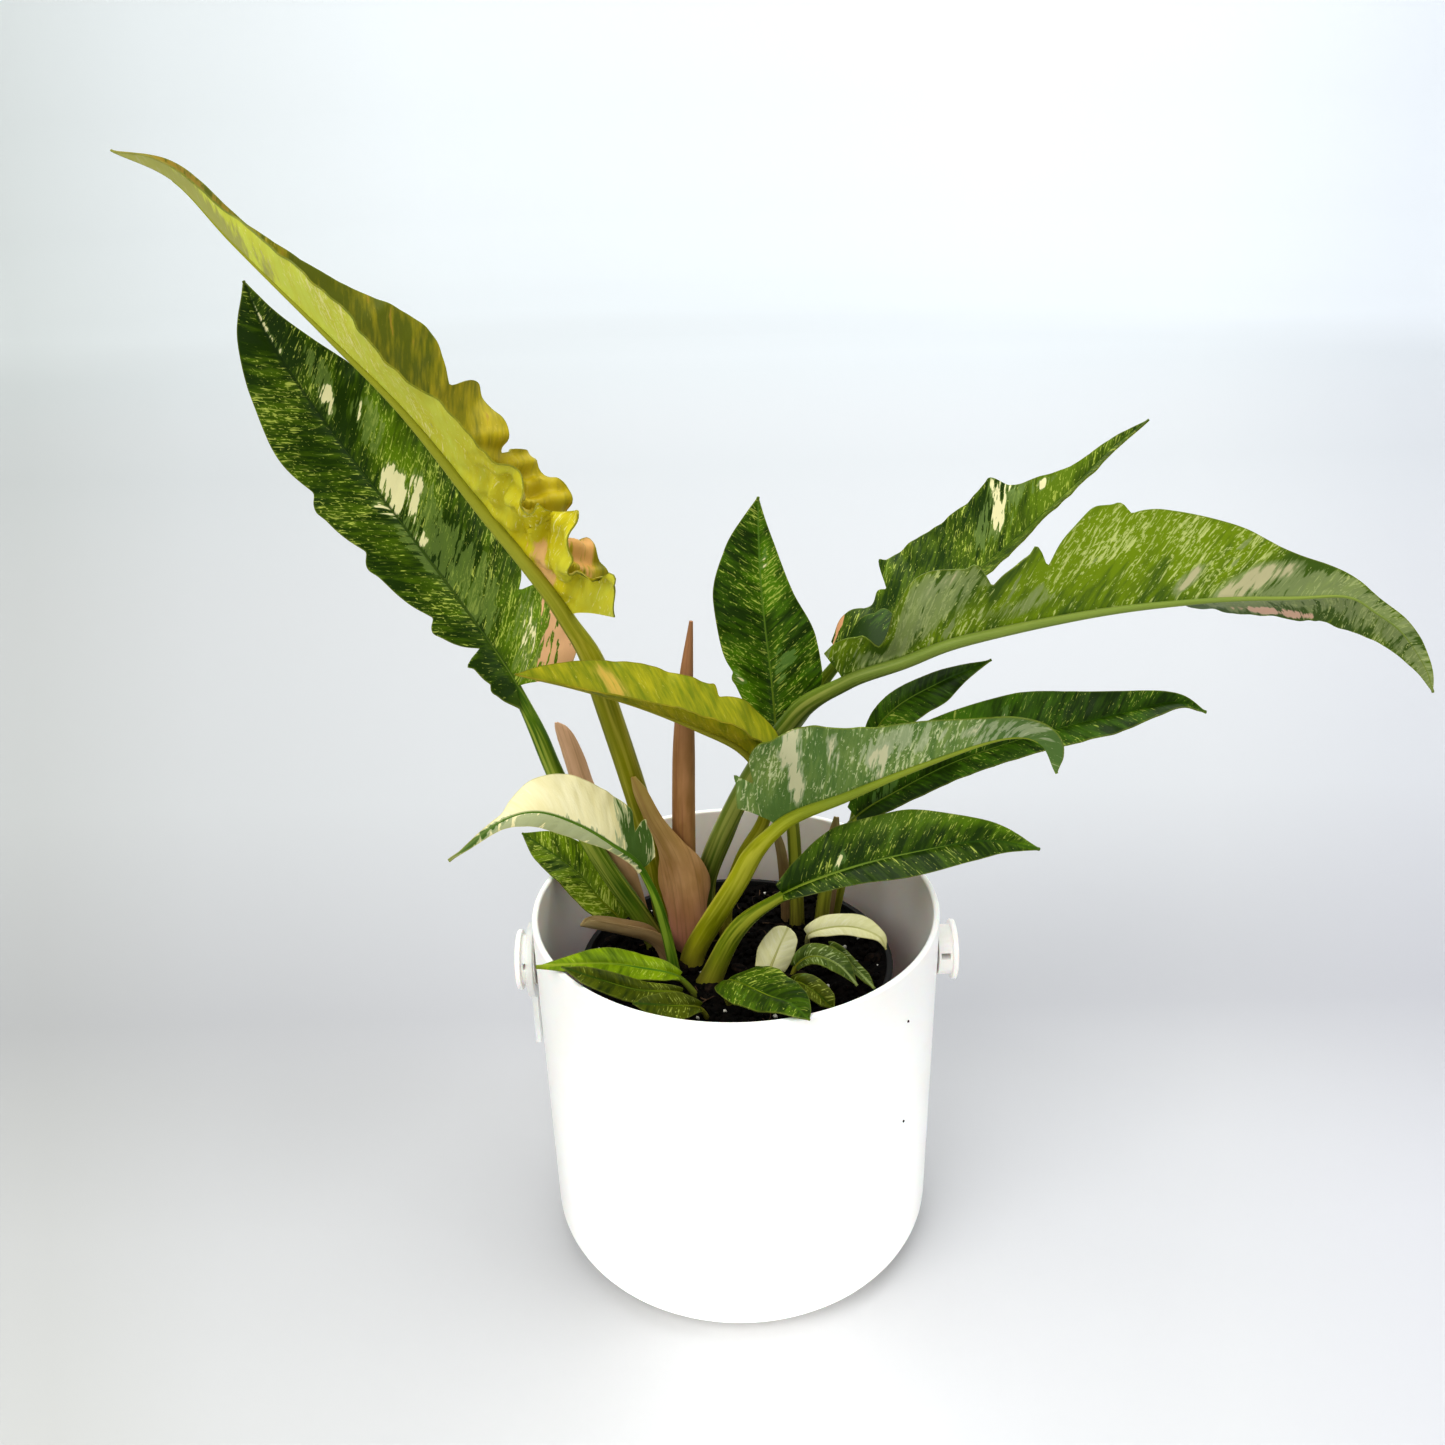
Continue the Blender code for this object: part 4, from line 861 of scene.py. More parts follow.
def rolled_stem(name, points, radii, sides=20, reference=(0.0, 1.0, 0.0)):
    """A tube along the points. Its places are round the stem in x and y, and along it in z."""
    run = along_lengths(points)
    tangent = np.gradient(points, axis=0)
    tangent /= np.linalg.norm(tangent, axis=1)[:, None]
    over = np.cross(tangent, reference)
    over /= np.linalg.norm(over, axis=1)[:, None]
    other = np.cross(tangent, over)
    angle = np.linspace(0, 2 * math.pi, sides + 1)
    ring = np.cos(angle)[None, :, None] * over[:, None] + np.sin(angle)[None, :, None] * other[:, None]
    places = np.zeros((len(points), sides + 1, 3))
    places[:, :, 0] = np.cos(angle)[None] * radii[:, None]
    places[:, :, 1] = np.sin(angle)[None] * radii[:, None]
    places[:, :, 2] = run[:, None]
    tube = laid_grid(name, points[:, None] + ring * radii[:, None, None], places)
    mode("EDIT")
    bpy.ops.mesh.select_all(action="SELECT")
    bpy.ops.mesh.remove_doubles(threshold=0.002 * MM)
    bpy.ops.mesh.select_mode(type="EDGE")
    bpy.ops.mesh.select_all(action="DESELECT")
    bpy.ops.mesh.select_non_manifold()
    bpy.ops.mesh.fill_holes(sides=0)
    turn_faces_out()
    mode("OBJECT")
    return tube


# %% Fine roots
# Hair-thin roots wander over the soil. Each one is a rolled stem along a few random steps.
ROOT_COUNT = 40
ROOT_RADIUS = 0.24
ROOT_REACH = 44
ROOT_STEP = 3
ROOT_TURNS = 5
wander = np.random.default_rng(11)


def root_fibre(number):
    angle, distance = wander.uniform(0, 2 * math.pi), ROOT_REACH * math.sqrt(wander.uniform(0.1, 1))
    x, y, heading = distance * math.cos(angle), distance * math.sin(angle), wander.uniform(0, 2 * math.pi)
    way = []
    for _ in range(ROOT_TURNS):
        way.append((x, y, soil_height(x, y) + wander.uniform(0.4, 2.4)))
        heading += wander.uniform(-0.9, 0.9)
        x, y = x + ROOT_STEP * math.cos(heading), y + ROOT_STEP * math.sin(heading)
    line = smooth_route(way, 0.8)
    return rolled_stem(f"root_{number}", line, np.full(len(line), ROOT_RADIUS), 6, (0.0, 0.0, 1.0))


fibres = [root_fibre(number) for number in range(ROOT_COUNT)]
work_on(fibres[0])
for fibre in fibres:
    fibre.select_set(True)
bpy.ops.object.join()
fibres[0].name = fibres[0].data.name = "fine_roots"
hand_over(fibres[0], material=root_brown)

# %% Leaf tables
# Each leaf is one route from the soil to its tip. The stalk ends, and the blade
# starts, at the point numbered "stalk". "facing" is where the upper face looks.
# "both" holds what its halves share. "edge" gives a half's width in mm at shares of
# the blade's length, "fold" how many degrees that half is turned up from flat, and
# "arch" how many more it turns out to its edge. "lobe" swings its base back.
# A notch is (share, depth, length): the sinus between two lobes.
# A ruffle is (height, waves, phase, start, end). A list runs from base to tip.
LARGE_LEAVES = {
    "leaf_left": dict(
        route=[(-33, 15, 117), (-35, 15, 129), (-56, 20, 165), (-70, 26, 196), (-83, 32, 232),
            (-101, 38, 262), (-124, 42, 298), (-146, 42, 334), (-161, 36, 367), (-165, 30, 388)],
        stalk=4, radius=(4.2, 3.2), facing=[(0.55, -0.75, 0.35), (0.45, -0.8, 0.35), (0.2, -0.9, 0.3)],
        both=dict(fold=12, arch=-16),
        left=dict(edge={0: 4, 0.025: 9, 0.07: 12, 0.13: 12, 0.2: 16, 0.35: 20, 0.5: 23, 0.65: 23, 0.8: 17,
            0.9: 10, 0.96: 4, 1: 0}, lobe=8, notches=[(0.055, 0.15, 0.02), (0.12, 0.6, 0.02),
            (0.23, 0.22, 0.04), (0.425, 0.16, 0.05), (0.585, 0.14, 0.05)]),
        right=dict(edge={0: 19, 0.04: 31, 0.1: 33, 0.15: 30, 0.3: 28, 0.5: 28, 0.7: 23, 0.84: 13, 0.93: 6,
            1: 0}, lobe=9, notches=[(0.17, 0.25, 0.02)])),
    "leaf_tall_left": dict(
        route=[(-27, 25, 117), (-34, 16, 174), (-47, 5, 238), (-56, 0, 274), (-84, -2, 316),
            (-106, -5, 349), (-128, -5, 374), (-155, -5, 404), (-172, -2, 423), (-192, 3, 432)],
        stalk=3, radius=(5, 4.4), facing=[(0.8, 0, 0.6), (0.75, 0, 0.65), (0.6, 0, 0.8)],
        left=dict(edge={0: 18, 0.05: 26, 0.2: 30, 0.35: 31, 0.5: 28, 0.65: 21, 0.8: 10, 0.92: 5, 1: 0},
            fold=(55, 50, 36, 30, 44, 45, 40), lobe=5, notches=[(0.07, 0.4, 0.03), (0.17, 0.35, 0.03)],
            ruffle=(6, 8, 0, 0, 0.35)),
        right=dict(edge={0: 18, 0.05: 24, 0.2: 31, 0.47: 31, 0.56: 25, 0.64: 17, 0.8: 8, 0.92: 5, 1: 0},
            fold=40, lobe=8, notches=[(0.1, 0.45, 0.04), (0.27, 0.4, 0.05), (0.41, 0.35, 0.05)],
            ruffle=(6, 7, 1, 0, 0.45))),
    "leaf_olive": dict(
        route=[(-3, 20, 117), (-4, 17, 137), (3, 10, 165), (12, -2, 190), (12, -12, 213), (4, -12, 225),
            (-12, -15, 235), (-32, -20, 246), (-53, -27, 256), (-74, -32, 264)],
        stalk=4, radius=(3, 2.4), facing=[(0.5, 0.1, 0.85), (0.3, 0, 0.95), (0.1, -0.2, 0.97)],
        left=dict(edge={0: 5, 0.1: 12, 0.25: 17, 0.4: 14, 0.6: 8, 0.8: 4, 0.9: 2, 1: 0}, fold=25, arch=20),
        right=dict(edge={0: 6, 0.1: 14, 0.3: 18, 0.5: 17, 0.75: 12, 0.9: 6, 1: 0},
            fold=(60, 50, 40, 40, 40), arch=-10, notches=[(0.27, 0.18, -0.04)])),
    "leaf_centre": dict(
        route=[(26, 27, 117), (25.5, 27, 145), (24, 27, 173), (20, 25.5, 205), (18, 25, 212), (16, 27, 235),
            (13, 32, 266), (12, 34, 289), (12, 33, 306)],
        stalk=4, radius=(3, 2.4), facing=[(0, -0.8, 0.6), (0, -0.85, 0.5)],
        both=dict(fold=18, arch=-20),
        left=dict(edge={0: 5, 0.08: 8, 0.2: 13, 0.4: 18, 0.6: 19, 0.8: 13, 0.93: 5, 1: 0},
            notches=[(0.3, 0.08, 0.05)]),
        right=dict(edge={0: 6, 0.08: 12, 0.25: 20, 0.4: 19, 0.6: 12, 0.8: 6, 0.93: 2, 1: 0})),
    "leaf_back_right": dict(
        route=[(-12, 42, 117), (-11, 42, 137), (-3, 43, 158), (6, 44, 180), (17, 45, 196), (30, 46, 213),
            (44, 48, 236), (68, 50, 250), (99, 51, 270), (128, 48, 298), (144, 44, 317), (156, 38, 330)],
        stalk=6, radius=(3.6, 3), facing=[(-0.6, 0, 0.8), (-0.65, 0, 0.75)],
        left=dict(edge={0: 8, 0.06: 14, 0.13: 15, 0.2: 28, 0.35: 31, 0.5: 30, 0.58: 31, 0.66: 19, 0.8: 7,
            0.9: 4, 1: 0}, fold=30, notches=[(0.195, 0.4, -0.03), (0.62, 0.15, 0.04)],
            ruffle=(2, 5, 0, 0, 0.3)),
        right=dict(edge={0: 8, 0.06: 14, 0.2: 20, 0.4: 22, 0.6: 16, 0.8: 10, 0.92: 4, 1: 0}, fold=12,
            notches=[(0.12, 0.3, 0.03), (0.25, 0.2, 0.05)], ruffle=(3, 5, 2, 0, 0.3))),
    "leaf_long_right": dict(
        route=[(-12, 28, 117), (-12, 21, 150), (5, 10, 197), (25, -2, 234), (40, -10, 251), (61, -14, 260),
            (82, -18, 269), (127, -20, 278), (166, -20, 281), (196, -18, 280), (215, -16, 279),
            (227, -14, 272), (239, -12, 263), (250, -11, 249), (255, -10, 239)],
        stalk=4, radius=(4.4, 3.8), facing=[(-0.35, 0.4, 0.8), (-0.2, 0.6, 0.7), (-0.1, 0.8, 0.6),
            (0, 1, 0.3), (0.3, 0.9, 0.2)],
        left=dict(edge={0: 12, 0.05: 22, 0.2: 30, 0.4: 34, 0.55: 28, 0.7: 20, 0.85: 11, 0.95: 4, 1: 0},
            fold=(50, 48, 40, 22, 10), notches=[(0.1, 0.4, 0.03), (0.24, 0.4, 0.03)],
            ruffle=(4, 6, 0, 0, 0.4)),
        right=dict(edge={0: 12, 0.03: 14, 0.07: 12, 0.12: 20, 0.17: 26, 0.22: 24, 0.3: 25, 0.36: 31,
            0.4: 36, 0.5: 31, 0.58: 25, 0.65: 17, 0.71: 12, 0.79: 5, 0.9: 4, 0.96: 2, 1: 0},
            fold=(50, 45, 45, 30, 20), notches=[(0.07, 0.35, 0.02), (0.245, 0.3, 0.025), (0.325, 0.3, 0.02),
            (0.44, 0.08, 0.02)], ruffle=(3, 6, 1, 0, 0.35))),
    "leaf_grey_green": dict(
        route=[(-18, 2, 117), (-16, 1, 130), (1, -12, 168), (15, -22, 199), (41, -32, 216), (65, -38, 229),
            (92, -42, 240), (105, -44, 239), (111, -46, 228)],
        stalk=3, radius=(4.6, 3.8), facing=[(-0.3, 0.5, 0.8), (-0.2, 0.6, 0.8), (0, 0.7, 0.7),
            (0.5, 0.4, 0.7)],
        left=dict(edge={0: 10, 0.05: 18, 0.2: 24, 0.5: 22, 0.7: 16, 0.85: 8, 0.95: 3, 1: 0}, fold=45),
        right=dict(edge={0: 15, 0.06: 25, 0.17: 34, 0.3: 31, 0.43: 22, 0.6: 15, 0.75: 10, 0.87: 9, 0.95: 5,
            1: 0}, fold=(45, 45, 40, 20), lobe=3, notches=[(0.06, 0.3, 0.02)], ruffle=(2, 4, 0, 0, 0.4))),
    "leaf_right": dict(
        route=[(35, 22, 117), (37, 22, 140), (41, 22, 160), (49, 22, 176), (66, 20, 189), (89, 17, 203),
            (119, 14, 215), (148, 11, 224), (168, 9, 229), (180, 8, 225)],
        stalk=3, radius=(3, 2.4), facing=[(-0.2, -0.6, 0.8), (-0.1, -0.6, 0.8), (0, -0.6, 0.8)],
        left=dict(edge={0: 5, 0.1: 12, 0.3: 19, 0.5: 18, 0.7: 11, 0.85: 6, 0.95: 2, 1: 0}, fold=30),
        right=dict(edge={0: 5, 0.1: 8, 0.3: 10, 0.5: 10, 0.7: 11, 0.85: 7, 0.95: 2, 1: 0}, fold=30,
            arch=-15)),
    "leaf_low_right": dict(
        route=[(-13, -11, 117), (0, -14, 147), (18, -20, 167), (43, -24, 180), (68, -27, 188),
            (92, -28, 192), (112, -28, 188)],
        stalk=2, radius=(4.6, 2.8), facing=[(-0.2, -0.6, 0.75), (-0.1, -0.6, 0.75), (0, -0.6, 0.75)],
        left=dict(edge={0: 4, 0.1: 9, 0.3: 16, 0.5: 16, 0.75: 9, 0.9: 4, 1: 0}, fold=30, arch=-10),
        right=dict(edge={0: 3, 0.1: 5, 0.3: 7, 0.5: 9, 0.75: 7, 0.9: 3, 1: 0}, fold=-5, arch=-10)),
    "leaf_small_back": dict(
        route=[(40, 32, 117), (45, 34, 141), (51, 37, 170), (57, 39, 202), (66, 39, 216), (83, 38, 227),
            (103, 36, 237)],
        stalk=3, radius=(2.6, 2.0), facing=(-0.3, -0.6, 0.7),
        left=dict(edge={0: 4, 0.3: 6, 0.6: 5, 0.8: 3, 1: 0}, fold=15),
        right=dict(edge={0: 7, 0.3: 11, 0.6: 9, 0.8: 4, 1: 0}, fold=10, arch=-15)),
    "leaf_cream": dict(
        route=[(-24, -5, 117), (-28, -9, 147), (-34, -18, 178), (-45, -26, 194), (-57, -32, 206),
            (-70, -38, 214), (-83, -42, 212), (-101, -45, 199)],
        stalk=2, radius=(2.2, 1.8), facing=[(0.2, -0.45, 0.85), (0, -0.45, 0.9), (-0.2, -0.4, 0.9)],
        left=dict(edge={0: 3, 0.2: 3, 0.35: 5, 0.5: 6, 0.65: 5, 0.75: 3, 0.9: 1.5, 1: 0}, fold=-30,
            arch=-30),
        right=dict(edge={0: 6, 0.1: 13, 0.3: 16, 0.48: 16, 0.6: 12, 0.68: 6, 0.74: 2, 0.85: 1, 1: 0},
            fold=30, arch=-10, notches=[(0.13, 0.4, 0.03)])),
}

# The small leaves low in the pot, in the same terms.
SMALL_LEAVES = {
    "leaf_pot_left": dict(
        route=[(-41, 22, 117), (-47, 22, 130), (-56, 24, 140), (-67, 29, 152), (-87, 34, 166)],
        stalk=1, radius=(2, 1.6), facing=(0.3, -0.6, 0.7),
        left=dict(edge={0: 4, 0.2: 8, 0.5: 10, 0.8: 7, 1: 0}, fold=12),
        right=dict(edge={0: 4, 0.2: 9, 0.5: 11, 0.8: 8, 1: 0}, fold=15)),
    "leaf_front_bright": dict(
        route=[(-13, -21, 117), (-22, -24, 133), (-37, -30, 142), (-51, -37, 149), (-73, -48, 156)],
        stalk=1, radius=(1.8, 1.4), facing=(0, -0.6, 0.8),
        both=dict(edge={0: 2, 0.2: 5, 0.5: 6, 0.8: 3, 1: 0}, fold=15),
        right=dict(arch=-20)),
    "leaf_front_olive": dict(
        route=[(-19, -26, 117), (-21, -32, 131), (-37, -43, 141), (-50, -49, 150), (-63, -55, 160)],
        stalk=1, radius=(1.6, 1.3), facing=(0, -0.6, 0.8),
        left=dict(edge={0: 2, 0.2: 5, 0.5: 6, 0.8: 4, 1: 0}, fold=10),
        right=dict(edge={0: 2, 0.2: 3, 0.5: 4, 0.8: 3, 1: 0}, fold=15, arch=-20)),
    "leaf_front_dark": dict(
        route=[(-10, -35, 117), (-14, -40, 130), (-26, -49, 138), (-38, -57, 145)],
        stalk=1, radius=(1.4, 1.1), facing=(0, -0.6, 0.8),
        left=dict(edge={0: 2, 0.4: 6, 0.8: 4, 1: 0}, fold=10),
        right=dict(edge={0: 2, 0.4: 5, 0.8: 3, 1: 0}, fold=10)),
    "leaf_over_rim": dict(
        route=[(-3, -24, 117), (-4, -38, 141), (11, -60, 149), (18, -70, 152.6), (24, -81, 153.4)],
        stalk=1, radius=(1.6, 1.3), facing=[(0.1, -0.4, 0.9), (0.2, -0.3, 0.9)],
        left=dict(edge={0: 4, 0.15: 10, 0.4: 12, 0.7: 9, 0.9: 4, 1: 0}, fold=12, arch=-20),
        right=dict(edge={0: 4, 0.15: 9, 0.4: 11, 0.7: 9, 0.9: 4, 1: 0}, fold=12, arch=-25)),
    "leaf_cream_stub": dict(
        route=[(11, -10, 117), (12.5, -12, 126), (16.5, -10, 136), (20.4, -8, 144)],
        stalk=1, radius=(1.8, 1.5), facing=(0, -0.8, 0.6),
        both=dict(fold=-8, arch=-20),
        left=dict(edge={0: 6, 0.4: 8, 0.8: 6, 0.93: 4, 1: 1}),
        right=dict(edge={0: 6, 0.4: 7, 0.8: 6, 0.93: 4, 1: 1})),
    "leaf_cream_right": dict(
        route=[(29, 14, 117), (29, 8, 130), (38, 7, 134), (48, 5, 135), (57, 1, 133), (60, -1, 128)],
        stalk=1, radius=(1.6, 1.2), facing=(0, -0.5, 0.85),
        both=dict(fold=10, arch=-20),
        left=dict(edge={0: 3, 0.3: 6, 0.6: 6, 0.85: 3, 1: 0}),
        right=dict(edge={0: 2, 0.3: 4, 0.6: 4, 0.85: 2, 1: 0})),
    "leaf_pale_arched": dict(
        route=[(20, -13, 117), (23, -14, 130), (30, -17, 136.5), (39, -22, 135.5), (46, -28, 130)],
        stalk=1, radius=(1.5, 1.2), facing=[(0.1, -0.6, 0.8), (0.2, -0.6, 0.8)],
        both=dict(fold=15, arch=-10),
        left=dict(edge={0: 2, 0.3: 5, 0.6: 5, 1: 0}),
        right=dict(edge={0: 2, 0.3: 4, 0.6: 4, 1: 0})),
    "leaf_pale_narrow": dict(
        route=[(34, -4, 117), (36.5, -8, 135), (46.5, -19, 130.8), (52.5, -28, 128.5)],
        stalk=1, radius=(1.2, 0.9), facing=[(0.1, -0.6, 0.8), (0.2, -0.6, 0.8)],
        left=dict(edge={0: 1.5, 0.3: 2.5, 0.7: 2.5, 1: 0}, fold=15),
        right=dict(edge={0: 1.5, 0.3: 2.5, 0.7: 2, 1: 0}, fold=15)),
    "leaf_small_dark": dict(
        route=[(16, -24, 117), (21, -29, 133), (28.5, -35, 133), (36, -42, 129.5)],
        stalk=1, radius=(1.3, 1.0), facing=[(0.1, -0.6, 0.8), (0.2, -0.6, 0.8)],
        both=dict(edge={0: 2, 0.4: 5, 0.8: 4, 1: 0}, fold=15)),
}
# Sheaths are the papery scales that each new leaf grew out of: a blade with no
# stalk, curled into a channel. They stand in the soil by their own foot.
SHEATHS = {
    "sheath_wide": dict(
        route=[(-19, 8, 117), (-20, 5, 147), (-23, 5, 168), (-32, 5, 188), (-38, 5, 205)],
        facing=[(0, 0.9, -0.2), (0, 0.9, 0.3), (0.2, 0.9, 0.3)],
        left=dict(edge={0: 8, 0.2: 13, 0.35: 15, 0.5: 11, 0.62: 6, 0.75: 4, 0.92: 3, 1: 1}, fold=8,
            arch=(90, 90, 50, 20, 20)),
        right=dict(edge={0: 8, 0.2: 13, 0.4: 13, 0.58: 8, 0.75: 4, 0.92: 3, 1: 1}, fold=8,
            arch=(90, 80, 45, 20, 20))),
    "sheath_tall": dict(
        route=[(-36, 26, 117), (-47, 24, 153), (-59.5, 22, 187), (-65, 22, 209), (-68, 22, 221)],
        facing=(0.3, 0.9, 0.2),
        both=dict(fold=8, arch=80),
        left=dict(edge={0: 3, 0.4: 7, 0.8: 7, 0.92: 5.6, 0.97: 3.6, 1: 0.5}),
        right=dict(edge={0: 3, 0.4: 6, 0.8: 6, 0.92: 5, 0.97: 3.4, 1: 0.5})),
    "sheath_low": dict(
        route=[(-28, 4, 117), (-34, 3, 131), (-47, 2, 137), (-62, 2, 141)],
        facing=(0, 0.3, 1),
        both=dict(edge={0: 4, 0.3: 8, 0.7: 7, 0.88: 6, 0.96: 4, 1: 0.5}, fold=10, arch=75)),
    "sheath_thin": dict(
        route=[(22, 31, 117), (22, 31, 135), (20, 31, 154), (17, 31, 167)],
        facing=(-0.2, 0.9, 0.2),
        both=dict(edge={0: 2.5, 0.4: 3, 0.8: 2, 1: 1}, fold=5, arch=50)),
    "sheath_right": dict(
        route=[(37, 28, 117), (38.5, 28, 135), (40, 28, 155), (42, 28, 173)],
        facing=(0.2, 0.9, 0.2),
        both=dict(edge={0: 2.5, 0.4: 4, 0.8: 3, 1: 1}, fold=5, arch=50)),
}

# The new leaf, still rolled into a spike.
SPIKE_ROUTE = [(-19, 17, 117), (-20, 14, 154), (-19, 13, 199), (-17, 13, 237), (-14, 13, 265)]
SPIKE_RADII = [(0, 4.0), (0.3, 4.6), (0.6, 4.4), (0.85, 2.6), (1, 0.7)]

# %% [markdown]
# ## The colours of a variegated leaf
# A few of these patches hold painted light: a glow where light shines through a leaf, and a painted sheen.
#
# Variegation is not paint: patches of leaf tissue lack chlorophyll, so they grow cream, peach or
# grey-green, and because cells divide along the side veins, every fleck and streak is drawn out that way.
# The material copies this. It reads each point's place on the leaf in millimetres, slants it like the
# veins, and stretches noise along them: flecks about 1 mm wide and 6 mm long, streaks of 4 by 15 mm,
# and clouds of 25 mm that mix a deep green with a brighter one. Larger patches are given by their place.
# The upper face is waxy, and the underside is paler and more matt.

# %% Leaf skin
def leaf_skin(name, deep, bright, grey, fleck, vein, cream="E4DDB0", blush="DDA77E", flecks=0.5,
              streaks=0.3, mottle=1.0, soft=0.08, ragged=4.0, roughness=0.38, rib_mm=0.6,
              margin="7C8434", seed=0.0):
    """Waxy leaf skin: greens, streaks, flecks and pale patches, drawn out along the side veins."""
    material, tree, shader = new_material(name, roughness, IOR=1.45, Specular_IOR_Level=0.2)
    place, paint, extra = (add_node(tree, "SeparateXYZ", {0: kept(tree, label)}).outputs
                           for label in ("place_mm", "paint", "blush"))
    from_rib = maths(tree, "ABSOLUTE", place["Y"])
    slanted = maths(tree, "MULTIPLY_ADD", from_rib, -VEIN_SLANT, place["X"])
    grain = add_node(tree, "CombineXYZ", {0: slanted, 1: place["Y"], 2: seed})
    thread, fine, streak, cloud, speck = drawn_out_noises(tree, grain, (
        (0.8, 4.5, 1.0, 2.0), (1.5, 6.5, 1.0, 3.0), (4.0, 15.0, 1.0, 5.0), (24.0, 28.0, 1.0, 3.0),
        (0.9, 1.2, 1.0, 2.0)))

    # The tone runs from deep to bright green by the leaf's own paint and by three of the noises.
    tone = paint["Z"]
    for noise, reach in ((cloud, 0.45), (streak, 0.35), (fine, 0.3)):
        tone = maths(tree, "ADD", tone, ranged(tree, noise, 0.3, 0.7, -reach * mottle, reach * mottle))
    face = blend(tree, maths(tree, "MULTIPLY", tone, 1.0, use_clamp=True), deep, bright)

    # Flecks gather in some clouds and where the leaf is brightest: faint threads, dashes and tiny dots.
    density = maths(tree, "ADD", ranged(tree, cloud, 0.35, 0.65, -0.08, 0.05),
                    ranged(tree, paint["Z"], 0.5, 1.2, 0.0, 0.03))
    level = 0.72 - 0.17 * flecks
    layers = []
    for noise, start, end, strength in ((thread, 0.0, 0.07, 0.65), (fine, 0.045, 0.085, 0.8),
                                        (speck, 0.02, 0.07, 0.65)):
        gathered = maths(tree, "ADD", noise, density)
        layers.append((ranged(tree, gathered, level + start, level + end, high=strength), fleck))

    # Patches are torn along the veins. A cream one fades out through grey-green.
    level = 0.74 - 0.16 * streaks
    layers.append((ranged(tree, streak, level, level + 0.04, high=0.7), grey))
    tear = maths(tree, "MULTIPLY_ADD", maths(tree, "ADD", streak, fine), ragged, 1 - ragged)
    for patch, edge, strength, code in (
            (paint["Y"], 0.5, 0.7, grey), (paint["X"], 0.32, 0.65, grey),
            (paint["X"], 0.56, 0.95, cream), (extra["X"], 0.5, 0.95, blush)):
        torn = maths(tree, "MULTIPLY", tear, patch)
        layers.append((ranged(tree, torn, edge, edge + soft, high=strength), code))
    layers.append((ranged(tree, from_rib, rib_mm, 0.4 * rib_mm, high=0.7), vein))
    layers.append((ranged(tree, place["Z"], 0.45, 0.15, high=0.5), margin))
    link(tree, ranged(tree, cloud, 0.3, 0.7, roughness - 0.05, roughness + 0.08), shader, "Roughness")
    bumps = maths(tree, "MULTIPLY_ADD", thread, 0.5, speck)
    give_surface(tree, shader, layered(tree, face, layers), bumps, 0.4, 0.15)
    return material


# %% Stalk skin
def stalk_skin(name, deep, bright, stripe, foot="8E7A3A", rib="6A8428", joint_mm=1000.0):
    """A juicy green stalk, with long yellow stripes, a blush at its foot and a midrib of its own tone."""
    material, tree, shader = new_material(name, 0.36, IOR=1.45, Specular_IOR_Level=0.2)
    place = kept(tree, "place_mm")
    band, thread, cloud = drawn_out_noises(tree, place, (
        (2.4, 2.4, 90.0, 2.0), (0.8, 0.8, 30.0, 2.0), (6.0, 6.0, 25.0, 2.0)))
    height = add_node(tree, "SeparateXYZ", {0: place}).outputs["Z"]
    face = layered(tree, blend(tree, ranged(tree, cloud, 0.3, 0.7), deep, bright), (
        (ranged(tree, band, 0.52, 0.62, high=0.8), stripe),
        (ranged(tree, thread, 0.5, 0.75, high=0.5), stripe),
        (ranged(tree, height, 26.0, 6.0, high=0.55), foot),
        (ranged(tree, height, joint_mm - 12, joint_mm + 25, high=0.75), rib)))
    give_surface(tree, shader, face, thread, 0.4, 0.15)
    return material


# %% [markdown]
# ## One skin for each leaf
#
# No two leaves of this plant are alike, so each large one has its own greens, read off the real leaf,
# and its own patches: where they lie along the blade (0 is the base, 1 the tip) and across it (-1 is the
# right edge, 1 the left one), and how far they reach. Small leaves share a few skins.

# %% Leaf looks
TOP = dict(deep="263E00", bright="5C8404", grey="6E8C48", fleck="C0C864", vein="35560A")
UNDER = dict(deep="4A661E", bright="7E9430", grey="92A470", fleck="BEC88A", vein="7C8C34",
             roughness=0.5, rib_mm=0.1)
STALK = dict(deep="526606", bright="8A9810", stripe="B0B240")
